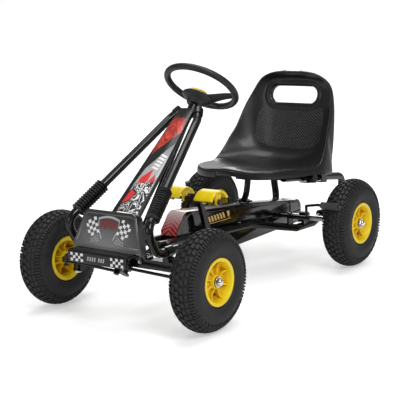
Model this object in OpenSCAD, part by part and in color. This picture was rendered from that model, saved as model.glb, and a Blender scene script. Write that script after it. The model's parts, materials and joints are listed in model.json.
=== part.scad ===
// Pedal go kart: tube chassis, chain drive to the rear axle, rod-and-knuckle steering,
// a bucket seat that slides on its rails, and a hand brake that presses on the rear tyres.
// +X points forward, +Y to the driver's left and +Z up. The origin is on the ground, under the
// middle of the kart's outline. Lengths are millimetres.

/* [Wheels] */
// Outside diameter of a tyre
tyre_d = 250; // [244:1:254]
// Width of a tyre
tyre_w = 78; // [74:1:80]
// Diameter of a rim over its flanges
rim_d = 117; // [114:1:120]
// Number of ribs on each face of a rim
rim_ribs = 8; // [5:1:10]
// Diameter of the rear axle
axle_d = 16; // [14:1:16]
// Diameter of the threaded wheel journals
journal_d = 12; // [10:1:12]

/* [Layout] */
// Distance between the front and rear axles
wheelbase = 684; // [680:1:700]
// Distance between the middles of the front tyres
front_track = 486; // [480:1:496]
// Distance between the middles of the rear tyres
rear_track = 498; // [494:1:504]
// Distance between the two kingpins
kingpin_span = 356; // [350:1:358]

/* [Frame] */
// Outside diameter of the frame tubes
tube_d = 22; // [20:1:22]
// Wall thickness of the frame tubes
tube_wall = 1.5; // [1.2:0.1:2]
// Distance from the rear axle back to the seat frame's rear bend
rear_reach = 170; // [165:1:180]

/* [Steering] */
// Lean of the steering column back from vertical, in degrees
column_lean = 39.4; // [38.5:0.1:40]
// Diameter of the steering wheel, measured at the middle of its rim
wheel_d = 192; // [180:1:200]
// Thickness of the steering wheel's rim
grip_d = 18; // [16:1:20]
// Length of the steering arm on each knuckle
knuckle_arm = 42; // [40:1:44]
// Diameter of the tie rods
tie_rod_d = 8; // [7:0.5:8]

/* [Drive] */
// Teeth on the chainring
front_teeth = 22; // [20:1:22]
// Teeth on the rear sprocket
rear_teeth = 14; // [13:1:14]
// Pitch of the chain
chain_pitch = 12.7; // [12.7:0.1:12.7]
// Distance from the crank axle to a pedal spindle
crank_len = 95; // [85:1:96]
// Angle of the left crank arm above straight ahead, in degrees
left_crank = 72; // [60:1:90]
// Angle of the right crank arm above straight ahead, in degrees
right_crank = 134; // [120:1:140]

/* [Seat] */
// Width of the seat
seat_w = 372; // [360:1:376]
// Height of the top of the seat's back above the ground
seat_top = 542; // [520:1:550]
// Distance between the seat rails
rail_span = 250; // [244:1:254]

/* [Bodywork] */
// Width of the chain case
case_w = 54; // [54:1:56]
// Width of the front bumper strip
bumper_w = 187; // [180:1:196]
// Number of folds in each strut boot
boot_folds = 14; // [10:1:16]

/* [Hidden] */
$fn = 48;

fix = 0.02;                     // radial gap of parts that are fixed together
run = 0.05;                     // radial gap of parts that turn or slide on one another
black = [0.05, 0.05, 0.055];
charcoal = [0.16, 0.16, 0.17];
yellow = [0.97, 0.79, 0.05];
steel = [0.75, 0.76, 0.78];

tyre_r = tyre_d / 2;
tube_r = tube_d / 2;
axle_r = axle_d / 2;
journal_r = journal_d / 2;
crown_r = 44;                   // radius of the tyre's round section
bead_r = 50.2;
bead_half = 30.3;
flange_half = 34;
hub_r = 17;
hub_in = -30;
hub_out = 26;
bush_r = 10;
shoulder = 32.2;                // inboard end of a hub and its bush flange, from the tyre's middle
nut_from = 28.2;
nut_end = 40;

crank_at = [425, 0, 168];
ring_pitch_r = chain_pitch / 2 / sin(180 / front_teeth);
sprocket_pitch_r = chain_pitch / 2 / sin(180 / rear_teeth);
axle_at = [0, 0, tyre_r];
rail_slope = 0.15;
post_x = 174;                   // foot of the seat post
rail_lean = atan(rail_slope);
sag_z = 100.5;                  // height of the backbones where they pass under the rear axle
rail_end = [-97, 98, 117.4];    // front end of the seat rail's lower leg
beam_z = tyre_r + 21;
beam_size = 24;
kingpin_y = kingpin_span / 2;
column_top = [354, 0, 542];     // middle of the steering wheel's rim
hub_face = 28;                  // the hub lies this far below the rim
pitman_at = [wheelbase + 44, 0, tyre_r + 8.5];
brake_at = [60, 0, tyre_r + 13];
outline_mid = (wheelbase + tyre_r - rear_reach - tube_r) / 2;

function unit(v) = v / norm(v);
function side(s, p) = [p[0], s * p[1], p[2]];
function on_column(t) = column_top + t * [sin(column_lean), 0, -cos(column_lean)];
function reach_along_column(p) = (p - column_top) * [sin(column_lean), 0, -cos(column_lean)];
function backbone_z(x) = 137 + (x - 190) * 0.0732;
function rail_z(x) = 247 + rail_slope * x;
function crank_end(angle) = crank_at + crank_len * [cos(angle), 0, sin(angle)];
pitman_arm = norm(pitman_at - on_column(reach_along_column(pitman_at)));

// Points on the bend of radius bend where a path turns from a-b to b-c. A slight turn stays a corner.
function bend_points(a, b, c, bend, steps) =
    let (u = unit(a - b), v = unit(c - b), phi = acos(-u * v),
         mid = b + unit(u + v) * bend / cos(phi / 2),
         e1 = unit(b + u * bend * tan(phi / 2) - mid), e2 = -u)
    phi < 25 ? [b]
    : [for (i = [0:steps]) mid + bend * (e1 * cos(phi * i / steps) + e2 * sin(phi * i / steps))];
function rounded(pts, bend, steps = 2) =
    let (last = len(pts) - 1)
    concat([pts[0]],
           [for (i = [1:last - 1]) each bend_points(pts[i - 1], pts[i], pts[i + 1], bend, steps)],
           [pts[last]]);
// Points of an arc in a flat outline
function arc(cx, cy, r, from, to, steps) =
    [for (i = [0:steps]) let (a = from + (to - from) * i / steps) [cx + r * cos(a), cy + r * sin(a)]];

module along(a, b) {
    d = b - a;
    translate(a) rotate([0, acos(d[2] / norm(d)), atan2(d[1], d[0])]) children();
}
module rod(a, b, r) { along(a, b) cylinder(h = norm(b - a), r = r); }
module bent_rod(pts, r) {
    for (i = [0:len(pts) - 2]) rod(pts[i], pts[i + 1], r);
    for (i = [1:len(pts) - 2]) translate(pts[i]) sphere(r * 1.01);
}
module bent_tube(pts, r, wall) {
    difference() {
        bent_rod(pts, r);
        bent_rod(concat([pts[0] + unit(pts[0] - pts[1])], [for (i = [1:len(pts) - 2]) pts[i]],
            [pts[len(pts) - 1] + unit(pts[len(pts) - 1] - pts[len(pts) - 2])]), r - wall);
    }
}
module in_frame() { translate([-outline_mid, 0, 0]) children(); }
// Turns +Z to point along +Y, with the kart's x staying x
module facing_left() { rotate([-90, 0, 0]) children(); }
// A flat outline drawn in the kart's x and z, standing from y = a to y = b
module side_plate(a, b) { translate([0, b, 0]) rotate([90, 0, 0]) linear_extrude(b - a) children(); }
module at_column(t) { translate(on_column(t)) rotate([0, -column_lean, 0]) children(); }
module at_rail(x) { translate([x, 0, rail_z(x)]) rotate([0, -rail_lean, 0]) children(); }

// ---- Wheels: drawn about z, with +z outboard and z = 0 at the tyre's middle ----
module tyre_outline(inset) {
    intersection() {
        translate([tyre_r - crown_r, 0]) circle(crown_r - inset);
        translate([bead_r + 9 + inset, inset - tyre_w / 2]) square([tyre_r, tyre_w - 2 * inset]);
    }
}
module tyre() {
    wall = 5;
    groove = 4;
    color(black) rotate_extrude() difference() {
        union() {
            tyre_outline(0);
            translate([bead_r, -bead_half]) square([13, 2 * bead_half]);
        }
        tyre_outline(wall);
        translate([bead_r - 1, -19]) square([18, 38]);
        for (z = [-15, 0, 15]) translate([tyre_r - groove - z * z / 90, z - 1.5]) square([2 * groove, 3]);
    }
}
module rim(bore) {
    web = 4;
    rib_t = 4;
    color(yellow) difference() {
        union() {
            rotate_extrude() difference() {
                union() {
                    translate([0, -flange_half]) square([bead_r - fix, 2 * flange_half]);
                    for (s = [-1, 1]) translate([0, s > 0 ? bead_half + 0.1 : -flange_half])
                        square([rim_d / 2, flange_half - bead_half - 0.1]);
                }
                translate([-1, 10]) square([48, 40]);
                translate([-1, -50]) square([48, 56]);
            }
            translate([0, 0, hub_in]) cylinder(h = hub_out - hub_in, r = hub_r);
            for (i = [0:rim_ribs - 1]) rotate(i * 360 / rim_ribs) {
                translate([hub_r - 2, -rib_t / 2, -24]) cube([48 - hub_r, rib_t, 46]);
            }
        }
        translate([0, 0, hub_in - 1]) cylinder(h = hub_out - hub_in + 2, r = bore);
        rotate(180 / rim_ribs) translate([30, -6, 0]) cube([9, 12, 16 + web]);
    }
}
module hub_bushes() {
    color(charcoal) for (s = [0, 1]) difference() {
        union() {
            translate([0, 0, s ? hub_in : hub_out - 16]) cylinder(h = 16, r = bush_r - fix);
            translate([0, 0, s ? hub_in - 2 : hub_out]) cylinder(h = 2, r = bush_r + 3);
        }
        translate([0, 0, s ? hub_in - 3 : hub_out - 17]) cylinder(h = 20, r = journal_r + run);
    }
}
module wheel_nut() {
    color(steel) difference() {
        union() {
            translate([0, 0, nut_from]) cylinder(h = 2, r = 13);
            translate([0, 0, nut_from + 1.9]) cylinder(h = 6, r = 9.8, $fn = 6);
            intersection() {
                translate([0, 0, nut_end - 8.4]) sphere(8.4);
                translate([0, 0, nut_from + 5]) cylinder(h = 20, r = 8.8);
            }
        }
        translate([0, 0, nut_from - 1]) cylinder(h = 7, r = journal_r + fix);
    }
}
module wheel_place(x, y) { translate([x, y, tyre_r]) rotate([y > 0 ? -90 : 90, 0, 0]) children(); }
module front_wheel(s) { wheel_place(wheelbase, s * front_track / 2) children(); }
module rear_wheel(s) { wheel_place(0, s * rear_track / 2) children(); }

// ---- Frame ----
front_plate_x = wheelbase - beam_size / 2;
function backbone_path(s) = [for (p = [[front_plate_x - 6, 30, 150], [600, 30, 167], [190, 30, 137],
    [40, 88, sag_z], [-40, 97, sag_z], [-100, 98, 118]]) side(s, p)];
function strut_path(s) = [for (p = [[412, 30, 486], [438, 45, 466], [765, 129, 248], [728, 126, 184],
    [640, 124, 180], [575, 44, 163]]) side(s, p)];
rail_bend = [-rear_reach, 112, 122];
rail_leg = unit(rail_bend - rail_end);
strut_join = [[600, 74.8, 169.5], [572, 40, 162.2]];   // outer and inner end of a strut's rear socket

module main_frame() {
    color(black) difference() {
        union() {
            for (s = [-1, 1]) {
                bent_tube(rounded(backbone_path(s), 40), tube_r, tube_wall);
                translate([crank_at[0], s * 30, crank_at[2]]) facing_left()
                    cylinder(h = 26, r = 13, center = true);
                rod(side(s, strut_join[0]), side(s, strut_join[1]), 14);
                rod(side(s, rail_end - 16 * rail_leg), side(s, rail_end + 22 * rail_leg), 14);
                translate([0, s * 80, 0]) brake_lug();
            }
            translate([front_plate_x - 6, -54, 125]) cube([5.9, 108, 39]);
            translate([330, -22, 141]) cube([20, 44, 8]);
            post_bridge();
        }
        for (s = [-1, 1]) {
            translate([crank_at[0], s * 30, crank_at[2]]) facing_left()
                cylinder(h = 30, r = 9 + fix, center = true);
            rod(side(s, strut_join[0] + 5 * unit(strut_join[0] - strut_join[1])),
                side(s, strut_join[1]), tube_r + 0.25);
            rod(side(s, rail_end - 0.2 * rail_leg), side(s, rail_end + 40 * rail_leg), tube_r + 0.1);
        }
        translate(brake_at) facing_left() cylinder(h = 200, r = 6 + run, center = true);
        at_column(560) cylinder(h = 140, r = 13.3);
        beam_bolt_places() cylinder(h = 60, r = 3.2, center = true);
        post_bolt_places() cylinder(h = 40, r = 3.2, center = true);
    }
}
module brake_lug() {
    difference() {
        side_plate(-3, 3) polygon(concat([[brake_at[0] + 12, 108], [brake_at[0] - 12, 108]],
            arc(brake_at[0], brake_at[2], 11, 180, 0, 12)));
        translate([brake_at[0], 0, 106]) cube([40, 20, 8], center = true);
    }
}
// An arch inside the chain case, over the chain, that carries the foot of the seat post
module post_bridge() {
    for (s = [-1, 1]) {
        translate([post_x - 12, s > 0 ? 19.5 : -23.5, 134]) cube([24, 4, 54]);
        translate([post_x - 12, s > 0 ? 19.5 : -36, 134]) cube([24, 16.5, 6]);
    }
    translate([post_x - 12, -23.5, 184.5]) cube([24, 47, 4]);
}
module beam_bolt_places() {
    for (s = [-1, 1]) translate([front_plate_x, s * 47.5, 150]) rotate([0, 90, 0]) children();
}
module post_bolt_places() { for (s = [-1, 1]) translate([post_x, s * 14, 190]) children(); }

module front_axle_beam() {
    half = kingpin_y - 20;
    color(black) difference() {
        union() {
            translate([front_plate_x, -half, beam_z - beam_size / 2]) difference() {
                cube([beam_size, 2 * half, beam_size]);
                translate([2, -1, 2]) cube([beam_size - 4, 2 * half + 2, beam_size - 4]);
            }
            for (s = [-1, 1]) {
                translate([wheelbase - 11.5, s > 0 ? half - 0.5 : -half - 4, tyre_r - 26.5])
                    cube([23, 4.5, beam_z + beam_size / 2 - tyre_r + 26]);
                for (z = [22.5, -26.5]) translate([0, 0, tyre_r + z]) {
                    translate([wheelbase - 11, s > 0 ? half : -kingpin_y, 0]) cube([22, kingpin_y - half, 4]);
                    translate([wheelbase, s * kingpin_y, 0]) cylinder(h = 4, r = 12);
                }
            }
            at_column(541) cylinder(h = 60, r = 13);
        }
        at_column(545) cylinder(h = 70, r = 9 + fix);
        for (s = [-1, 1]) {
            translate([wheelbase, s * kingpin_y, 0]) cylinder(h = 300, r = 6 + fix);
            for (z = [0, 1]) translate([wheelbase, s * 125, beam_z + 4]) cylinder(h = 20, r = 3.2);
        }
        beam_bolt_places() cylinder(h = 70, r = 3.2, center = true);
        for (s = [-1, 1]) translate([wheelbase + 2, s * 60, beam_z + 4]) cylinder(h = 20, r = 3.2);
    }
}
module kingpins() {
    color(steel) for (s = [-1, 1]) translate([wheelbase, s * kingpin_y, tyre_r]) {
        translate([0, 0, -34]) cylinder(h = 62, r = 6);
        translate([0, 0, 26.6]) cylinder(h = 6, r = 10, $fn = 6);
        translate([0, 0, -32.6]) cylinder(h = 6, r = 10, $fn = 6);
    }
}
module strut(s) {
    color(black) mirror([0, s > 0 ? 1 : 0, 0]) bent_tube(rounded(strut_path(-1), 40), tube_r, tube_wall);
}
module boot(s) {
    top = strut_path(s)[1];
    end = strut_path(s)[2];
    from = top + 0.655 * (end - top);
    to = top + 0.9 * (end - top);
    long = norm(to - from);
    pitch = long / boot_folds;
    folds = [for (i = [0:boot_folds - 1]) each [[14.5, i * pitch], [19, (i + 0.3) * pitch],
        [19, (i + 0.6) * pitch], [14.5, (i + 0.9) * pitch]]];
    color(charcoal) along(from, to) rotate_extrude()
        polygon(concat([[tube_r + 0.3, 0]], folds, [[14.5, long], [tube_r + 0.3, long]]));
}
module strut_clamps() {
    color(black) for (s = [-1, 1]) translate([wheelbase, s * 125, 0]) difference() {
        union() {
            translate([-12, -9, beam_z + beam_size / 2 + 0.05]) cube([24, 18, 10]);
            translate([0, 0, 182]) rotate([0, 90, 0]) cylinder(h = 24, r = 14, center = true);
        }
        rod(side(s, [728, 1, 184]) - [wheelbase, 0, 0], side(s, [640, -1, 180]) - [wheelbase, 0, 0], tube_r + 0.15);
        translate([0, 0, beam_z]) cylinder(h = 22, r = 3.2);
    }
}
module column_bracket() {
    top = strut_path(1);
    dir = unit(top[1] - top[0]);
    color(black) difference() {
        union() {
            at_column(84) cylinder(h = 24, r = 13);
            for (s = [-1, 1]) {
                rod(side(s, top[0] - 3 * dir), side(s, top[0] + 17 * dir), 13.5);
                translate([398, s > 0 ? 6 : -26, 478]) cube([12, 20, 12]);
            }
        }
        at_column(90) cylinder(h = 44, r = 9 + fix);
        for (s = [-1, 1]) rod(side(s, top[0]), side(s, top[0] + 40 * dir), tube_r + 0.1);
    }
}
module column_bushes() {
    color(charcoal) for (t = [83.9, 540]) difference() {
        at_column(t) cylinder(h = 20, r = 9);
        at_column(t + 5) cylinder(h = 40, r = 7 + run);
    }
}
module frame_bolts() {
    color(steel) {
        beam_bolt_places() translate([0, 0, -12]) {
            cylinder(h = 44, r = 3);
            translate([0, 0, 1.9]) cylinder(h = 4, r = 5.5, $fn = 6);
            translate([0, 0, 36.1]) cylinder(h = 4, r = 5.5, $fn = 6);
        }
        post_bolt_places() translate([0, 0, -14]) {
            cylinder(h = 28, r = 3);
            translate([0, 0, 4.4]) cylinder(h = 4, r = 5.2, $fn = 6);
            translate([0, 0, 24.3]) cylinder(h = 4, r = 5.2, $fn = 6);
        }
    }
}

// ---- Bodywork ----
module number_plate_outline(inset) {
    w0 = 111 - inset;
    w1 = 86 - inset;
    h = 96 - inset;
    r = 20 - inset / 2;
    polygon(concat([[-w0, inset], [w0, inset]], arc(w1 - r, h - r, r, 15, 90, 5),
        arc(r - w1, h - r, r, 90, 165, 5)));
}
// The number plate leans back; its outline is drawn in its own plane, z forward
module at_number_plate() { translate([771, 0, 190.2]) rotate([0, -16, 0]) rotate([90, 0, 90]) children(); }
module number_plate() {
    color([0.3, 0.3, 0.32]) difference() {
        at_number_plate() translate([0, 0, -25]) linear_extrude(25) number_plate_outline(0);
        at_number_plate() translate([0, 0, -30]) linear_extrude(27) number_plate_outline(3);
        translate([640, -200, 170]) cube([200, 400, 20.2]);
    }
}
module bumper() {
    half = bumper_w / 2;
    color(black) difference() {
        union() {
            translate([736, 6 - half, 185]) cube([66, bumper_w - 12, 5]);
            side_plate(-half, half) polygon([[799, 191], [794, 186], [797, 161], [804, 160], [804, 187]]);
        }
        for (s = [-1, 1]) translate([775, s * 60, 180]) cylinder(h = 20, r = 3.2);
    }
}
module bumper_brackets() {
    low = beam_z + beam_size / 2;
    color(black) for (s = [-1, 1]) difference() {
        side_plate(s * 60 - 10, s * 60 + 10) polygon([[674, low + 0.1], [700, low + 0.1], [720, 180.9],
            [790, 180.9], [790, 184.9], [717, 184.9], [697, low + 4.1], [674, low + 4.1]]);
        translate([775, s * 60, 170]) cylinder(h = 20, r = 3.2);
        translate([wheelbase + 2, s * 60, low - 4]) cylinder(h = 20, r = 3.2);
    }
}
fairing_top = [424, 0, 494];
fairing_len = 352;
fairing_lean = 39;
module fairing_solid(inset) {
    w0 = 25 - inset;
    w1 = 47 - inset;
    translate(fairing_top) rotate([0, fairing_lean, 0]) intersection() {
        // seen along the panel's normal
        translate([0, 0, -60]) linear_extrude(80) polygon([[0, -w0], [fairing_len, -w1],
            [fairing_len, w1], [0, w0]]);
        // seen from the end: a low crown with swept sides
        rotate([90, 0, 90]) translate([0, 0, -1]) linear_extrude(fairing_len + 2)
            polygon([[-60, -32 - inset * 2], [-58 + inset, -14 - inset], [-18, -inset], [18, -inset],
                [58 - inset, -14 - inset], [60, -32 - inset * 2]]);
    }
}
// Space kept free in the fairing for the struts and the column bracket
module strut_and_bracket_room() {
    for (s = [-1, 1]) {
        top = strut_path(s);
        dir = unit(top[1] - top[0]);
        rod(top[0] - 4 * dir, top[0] + 18 * dir, 14);
        rod(top[0], top[1] + 12 * dir, tube_r + 0.6);
        rod(top[1] - 40 * unit(top[2] - top[1]), top[2], tube_r + 0.6);
    }
    at_column(85) cylinder(h = 36, r = 13.6);
    translate([390, -28, 476]) cube([21, 56, 16]);
}
module fairing() {
    color(black) difference() {
        fairing_solid(0);
        translate([-2, 0, 1]) fairing_solid(2.5);
        translate([0, 0, -4]) fairing_solid(2.5);
        translate([726, 0, 300]) cube([60, 200, 120], center = true);
        strut_and_bracket_room();
    }
}
// Side outline of the whole chain case
function case_outline() = concat([[524, 174], [523, 186]], arc(470, 196, 34, 30, 82, 5),
    [[298, 209], [209, 199], [-52, 160.3]], arc(-66, 136, 24, 70, 180, 6),
    arc(-66, 113, 24, 180, 270, 5), [[380, 89], [470, 119], [521, 152]]);
module case_shell(wall) {
    half = case_w / 2;
    difference() {
        side_plate(-half, half) polygon(case_outline());
        side_plate(wall - half, half - wall) offset_case(wall);
    }
}
// The case's hollow: the same outline shrunk towards its middle, which leaves the wall all round
module offset_case(wall) {
    mid = [217, 143];
    share = [1 - 2 * wall / 300, 1 - 2 * wall / 72];
    polygon([for (p = case_outline()) [for (i = [0, 1]) mid[i] + share[i] * (p[i] - mid[i])]]);
}
module below_split(gap) {
    side_plate(-60, 60) polygon([[540, backbone_z(540) - 11.4 - gap], [158, backbone_z(158) - 11.4 - gap],
        [158, 144.4 - gap], [0, 125 - gap], [-120, 125 - gap], [-120, 60], [540, 60]]);
}
module above_split(gap) {
    side_plate(-60, 60) polygon([[540, backbone_z(540) + 11.4 + gap], [190, backbone_z(190) + 11.4 + gap],
        [158, 144.4 + gap], [0, 125 + gap], [-120, 125 + gap], [-120, 260], [540, 260]]);
}
module case_holes() {
    translate(crank_at) facing_left() cylinder(h = 80, r = 14, center = true);
    translate(axle_at) facing_left() cylinder(h = 80, r = axle_r + 1.5, center = true);
    translate(brake_at) facing_left() cylinder(h = 80, r = 7.5, center = true);
    post_bolt_places() cylinder(h = 30, r = 3.4, center = true);
    // room for the crossing plate and the seat post's bridge
    translate([328, -30, 140]) cube([24, 60, 10]);
}
module chain_case_upper() {
    color(black) difference() {
        intersection() { case_shell(2); above_split(0.1); }
        case_holes();
    }
}
module chain_case_lower() {
    color(black) difference() {
        intersection() { case_shell(2); below_split(0.1); }
        case_holes();
    }
}

// ---- Seat and its frame ----
function rail_path(s) = [for (p = [[160, rail_span / 2, rail_z(160)],
    [-rear_reach, rail_span / 2, rail_z(-rear_reach)], rail_bend, rail_end]) side(s, p)];
module seat_frame() {
    color(black) difference() {
        union() {
            for (s = [-1, 1]) bent_tube(rounded(rail_path(s), 34), tube_r, tube_wall);
            rod([150, -rail_span / 2, rail_z(150)], [150, rail_span / 2, rail_z(150)], 8);
            bent_rod([[150, 0, rail_z(150)], [154, 0, 240], [post_x, 0, 199]], 9);
            translate([post_x - 12, -22, 196.2]) cube([24, 44, 4]);
        }
        for (s = [-1, 1]) bent_rod([[161, s * rail_span / 2, rail_z(161)],
            [-100, s * rail_span / 2, rail_z(-100)]], tube_r - tube_wall);
        post_bolt_places() cylinder(h = 30, r = 3.4, center = true);
    }
}
// Stations of the seat from its front lip over the pan and up the back: the middle of its surface
// [x, z], the surface's edge [x, y, z], and the hem that folds down behind the edge [x, y, z]
function seat_stations() = let (w = seat_w / 2, top = seat_top) [
    [[266, 282], [261, 36, 282], [254, 36, 281]],
    [[263, 299], [258, 36, 299], [256, 36, 283]],
    [[255, 303], [249, 76, 301], [245, 78, 281]],
    [[230, 302], [224, 116, 301], [220, 120, 278]],
    [[190, 297], [184, 142, 299], [182, 146, 276]],
    [[140, 290], [136, 160, 295], [134, 165, 274]],
    [[84, 283], [84, w - 14, 290], [80, w - 9, 271]],
    [[30, 278], [52, w - 9, 296], [40, w - 3, 264]],
    [[-14, 278], [24, w - 13, 320], [-2, w - 6, 258]],
    [[-46, 285], [-2, w - 19, 350], [-24, w - 12, 258]],
    [[-68, 304], [-26, 158, 380], [-38, 163, 284]],
    [[-80, 340], [-48, 153, 412], [-58, 158, 340]],
    [[-92, 390], [-68, 146, 444], [-79, 150, 402]],
    [[-104, 436], [-87, 135, 474], [-98, 138, 450]],
    [[-117, 480], [-99, 120, 500], [-113, 124, 496]],
    [[-118, 508], [-100, 100, 520], [-113, 103, 520]],
    [[-110, top - 15], [-96, 66, top - 9], [-107, 68, top - 5]],
    [[-98, top - 4], [-98, 24, top - 4], [-106, 25, top - 1]]];
seat_across = [for (v = [0.3, 0.55, 0.75, 0.88, 0.96, 1]) v];
seat_v = concat([for (i = [len(seat_across) - 1:-1:0]) -seat_across[i]], [0], seat_across);
function seat_surface(st, v) = let (k = pow(abs(v), 3.5), m = st[0], e = st[1])
    [m[0] + k * (e[0] - m[0]), v * e[1], m[1] + k * (e[2] - m[1])];
// Direction away from the sitter at station i of the list
function seat_outward(sts, i) =
    let (a = sts[max(i - 1, 0)][0], b = sts[min(i + 1, len(sts) - 1)][0], d = unit(b - a)) [-d[1], 0, d[0]];
function seat_ring(sts, i, wall) =
    let (st = sts[i], out = seat_outward(sts, i), e = st[1], k = st[2], fold = unit(k - e), n = len(seat_v))
    concat(
        [for (v = seat_v) seat_surface(st, v)],
        [e + [0, 5, 0], k, k - [0, wall - 1, 0]],
        [for (j = [n - 1:-1:0]) let (v = seat_v[j], s = sign(v))
            abs(v) == 1 ? side(s, e + [0, 2, 0] + wall * fold)
            : seat_surface(st, v) + wall * unit((1 - 0.7 * v * v) * out + [0, v * abs(v), 0])],
        [side(-1, k - [0, wall - 1, 0]), side(-1, k), side(-1, e + [0, 5, 0])]);
module seat_shell() {
    wall = 4;
    sts = seat_stations();
    last = len(sts) - 1;
    n = len(seat_v);
    ring = 2 * n + 6;
    under = ring - 4;                       // under - j is the point below surface point j
    function at(i, k) = i * ring + k % ring;
    function quad(a, b, c, d) = [[a, b, c], [a, c, d]];
    function cap(i) = concat(
        [for (j = [0:n - 2]) each quad(at(i, j), at(i, j + 1), at(i, under - j - 1), at(i, under - j))],
        quad(at(i, n - 1), at(i, n), at(i, n + 1), at(i, n + 2)), [[at(i, n - 1), at(i, n + 2), at(i, n + 3)]],
        quad(at(i, 0), at(i, ring - 3), at(i, ring - 2), at(i, ring - 1)), [[at(i, 0), at(i, under), at(i, ring - 3)]]);
    function flipped(faces) = [for (f = faces) [f[2], f[1], f[0]]];
    color(charcoal) difference() {
        union() {
            polyhedron(
                points = [for (i = [0:last]) each seat_ring(sts, i, wall)],
                faces = concat(cap(0), flipped(cap(last)),
                    [for (i = [0:last - 1], k = [0:ring - 1])
                        each quad(at(i, k), at(i + 1, k), at(i + 1, k + 1), at(i, k + 1))]));
            for (b = [[strap_x[0], 39.5], [strap_x[1], 23]], s = [-1, 1]) at_rail(b[0])
                translate([0, s * 80, tube_r + 3.55]) cylinder(h = b[1] - tube_r - 3.55, r = 9);
        }
        // hand hole
        translate([-200, -hole_half, hole_z - hole_r]) cube([140, 2 * hole_half, 2 * hole_r]);
        for (s = [-1, 1]) translate([-200, s * hole_half, hole_z]) rotate([0, 90, 0])
            cylinder(h = 140, r = hole_r);
        at_seat_straps() for (s = [-1, 1]) translate([0, s * 80, tube_r]) cylinder(h = 11, r = 3.1);
    }
}
strap_x = [-30, 50];
hole_half = 56;                         // the hand hole's straight edges run this far each side
hole_r = 24;
hole_z = seat_top - 71.5;
module at_seat_straps() { for (x = strap_x) at_rail(x) children(); }
module seat_carrier() {
    half = rail_span / 2;
    color(black) difference() {
        at_seat_straps() translate([-15, 0, 0]) {
            translate([0, -half - 20, tube_r + 0.5]) cube([30, 2 * half + 40, 3]);
            for (s = [-1, 1]) {
                translate([0, s > 0 ? half + 17 : -half - 20, -tube_r - 4]) cube([30, 3, 2 * tube_r + 7]);
                translate([0, s > 0 ? half - 6 : -half - 20, -tube_r - 4]) cube([30, 26, 3]);
            }
        }
        at_seat_straps() for (s = [-1, 1]) translate([0, s * 80, 0]) cylinder(h = 40, r = 3.2);
        at_rail(50) facing_left() translate([0, 0, half]) cylinder(h = 60, r = 4 + run);
    }
}
module seat_screws() {
    color(steel) at_seat_straps() for (s = [-1, 1]) translate([0, s * 80, tube_r - 3.6]) {
        cylinder(h = 14, r = 3);
        cylinder(h = 4, r = 5.5, $fn = 6);
    }
}
module seat_knob() {
    half = rail_span / 2;
    color(black) at_rail(50) facing_left() {
        translate([0, 0, half + tube_r + 0.3]) cylinder(h = 22, r = 4);
        translate([0, 0, half + 24]) for (i = [0:5]) rotate(60 * i) translate([10, 0, 0]) cylinder(h = 12, r = 5);
        translate([0, 0, half + 24]) cylinder(h = 12, r = 12);
    }
}

// ---- Drive ----
module bearing_housings() {
    color(black) for (s = [-1, 1]) translate([0, s * 92, 0]) difference() {
        union() {
            translate([0, 0, tyre_r]) facing_left() cylinder(h = 20, r = 17, center = true);
            translate([-20, -10, 108]) cube([40, 20, 14]);
        }
        translate([0, 0, tyre_r]) facing_left() cylinder(h = 30, r = 12 + fix, center = true);
        translate([0, -s * 92, 0]) rod(side(s, [46, 87.3, 104]), side(s, [-46, 97.7, 104]), tube_r + 0.5);
    }
}
module axle_bushes() {
    color(charcoal) for (s = [-1, 1]) translate([0, s * 92, tyre_r]) facing_left() difference() {
        cylinder(h = 22, r = 12, center = true);
        cylinder(h = 30, r = axle_r + run, center = true);
    }
}
module crank_bushes() {
    color(charcoal) for (s = [-1, 1]) translate([crank_at[0], s * 30, crank_at[2]]) facing_left() difference() {
        cylinder(h = 27, r = 9, center = true);
        cylinder(h = 40, r = 7 + run, center = true);
    }
}
module rear_axle() {
    inner = rear_track / 2 - shoulder;
    color(steel) translate(axle_at) facing_left() difference() {
        union() {
            cylinder(h = 2 * inner, r = axle_r, center = true);
            cylinder(h = rear_track + 2 * 33, r = journal_r, center = true);
        }
        translate([0, 0, 20 - rear_track / 2]) rotate([0, 90, 0]) cylinder(h = 60, r = 2.5 + fix, center = true);
    }
}
module drive_pin() {
    color(steel) translate([0, 20 - rear_track / 2, tyre_r]) rotate([0, 90, 0])
        cylinder(h = 2 * hub_r - 1, r = 2.5, center = true);
}
module toothed(teeth, pitch_r) {
    root = pitch_r - 3.2;
    tip = pitch_r + 2.4;
    polygon([for (i = [0:teeth - 1]) for (k = [[0, root], [0.22, root], [0.42, tip], [0.58, tip], [0.78, root]])
        let (a = 360 * (i + k[0]) / teeth) k[1] * [cos(a), sin(a)]]);
}
module chainring() {
    color(steel) translate(crank_at) facing_left() difference() {
        union() {
            translate([0, 0, -1.4]) linear_extrude(2.8) toothed(front_teeth, ring_pitch_r);
            cylinder(h = 20, r = 12, center = true);
        }
        cylinder(h = 30, r = 7 + fix, center = true);
        for (i = [0:4]) rotate(72 * i) translate([25, 0, 0]) cylinder(h = 10, r = 8, center = true);
    }
}
module rear_sprocket() {
    color(steel) translate(axle_at) facing_left() difference() {
        union() {
            translate([0, 0, -1.4]) linear_extrude(2.8) toothed(rear_teeth, sprocket_pitch_r);
            cylinder(h = 24, r = 14, center = true);
        }
        cylinder(h = 30, r = axle_r + fix, center = true);
    }
}
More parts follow.
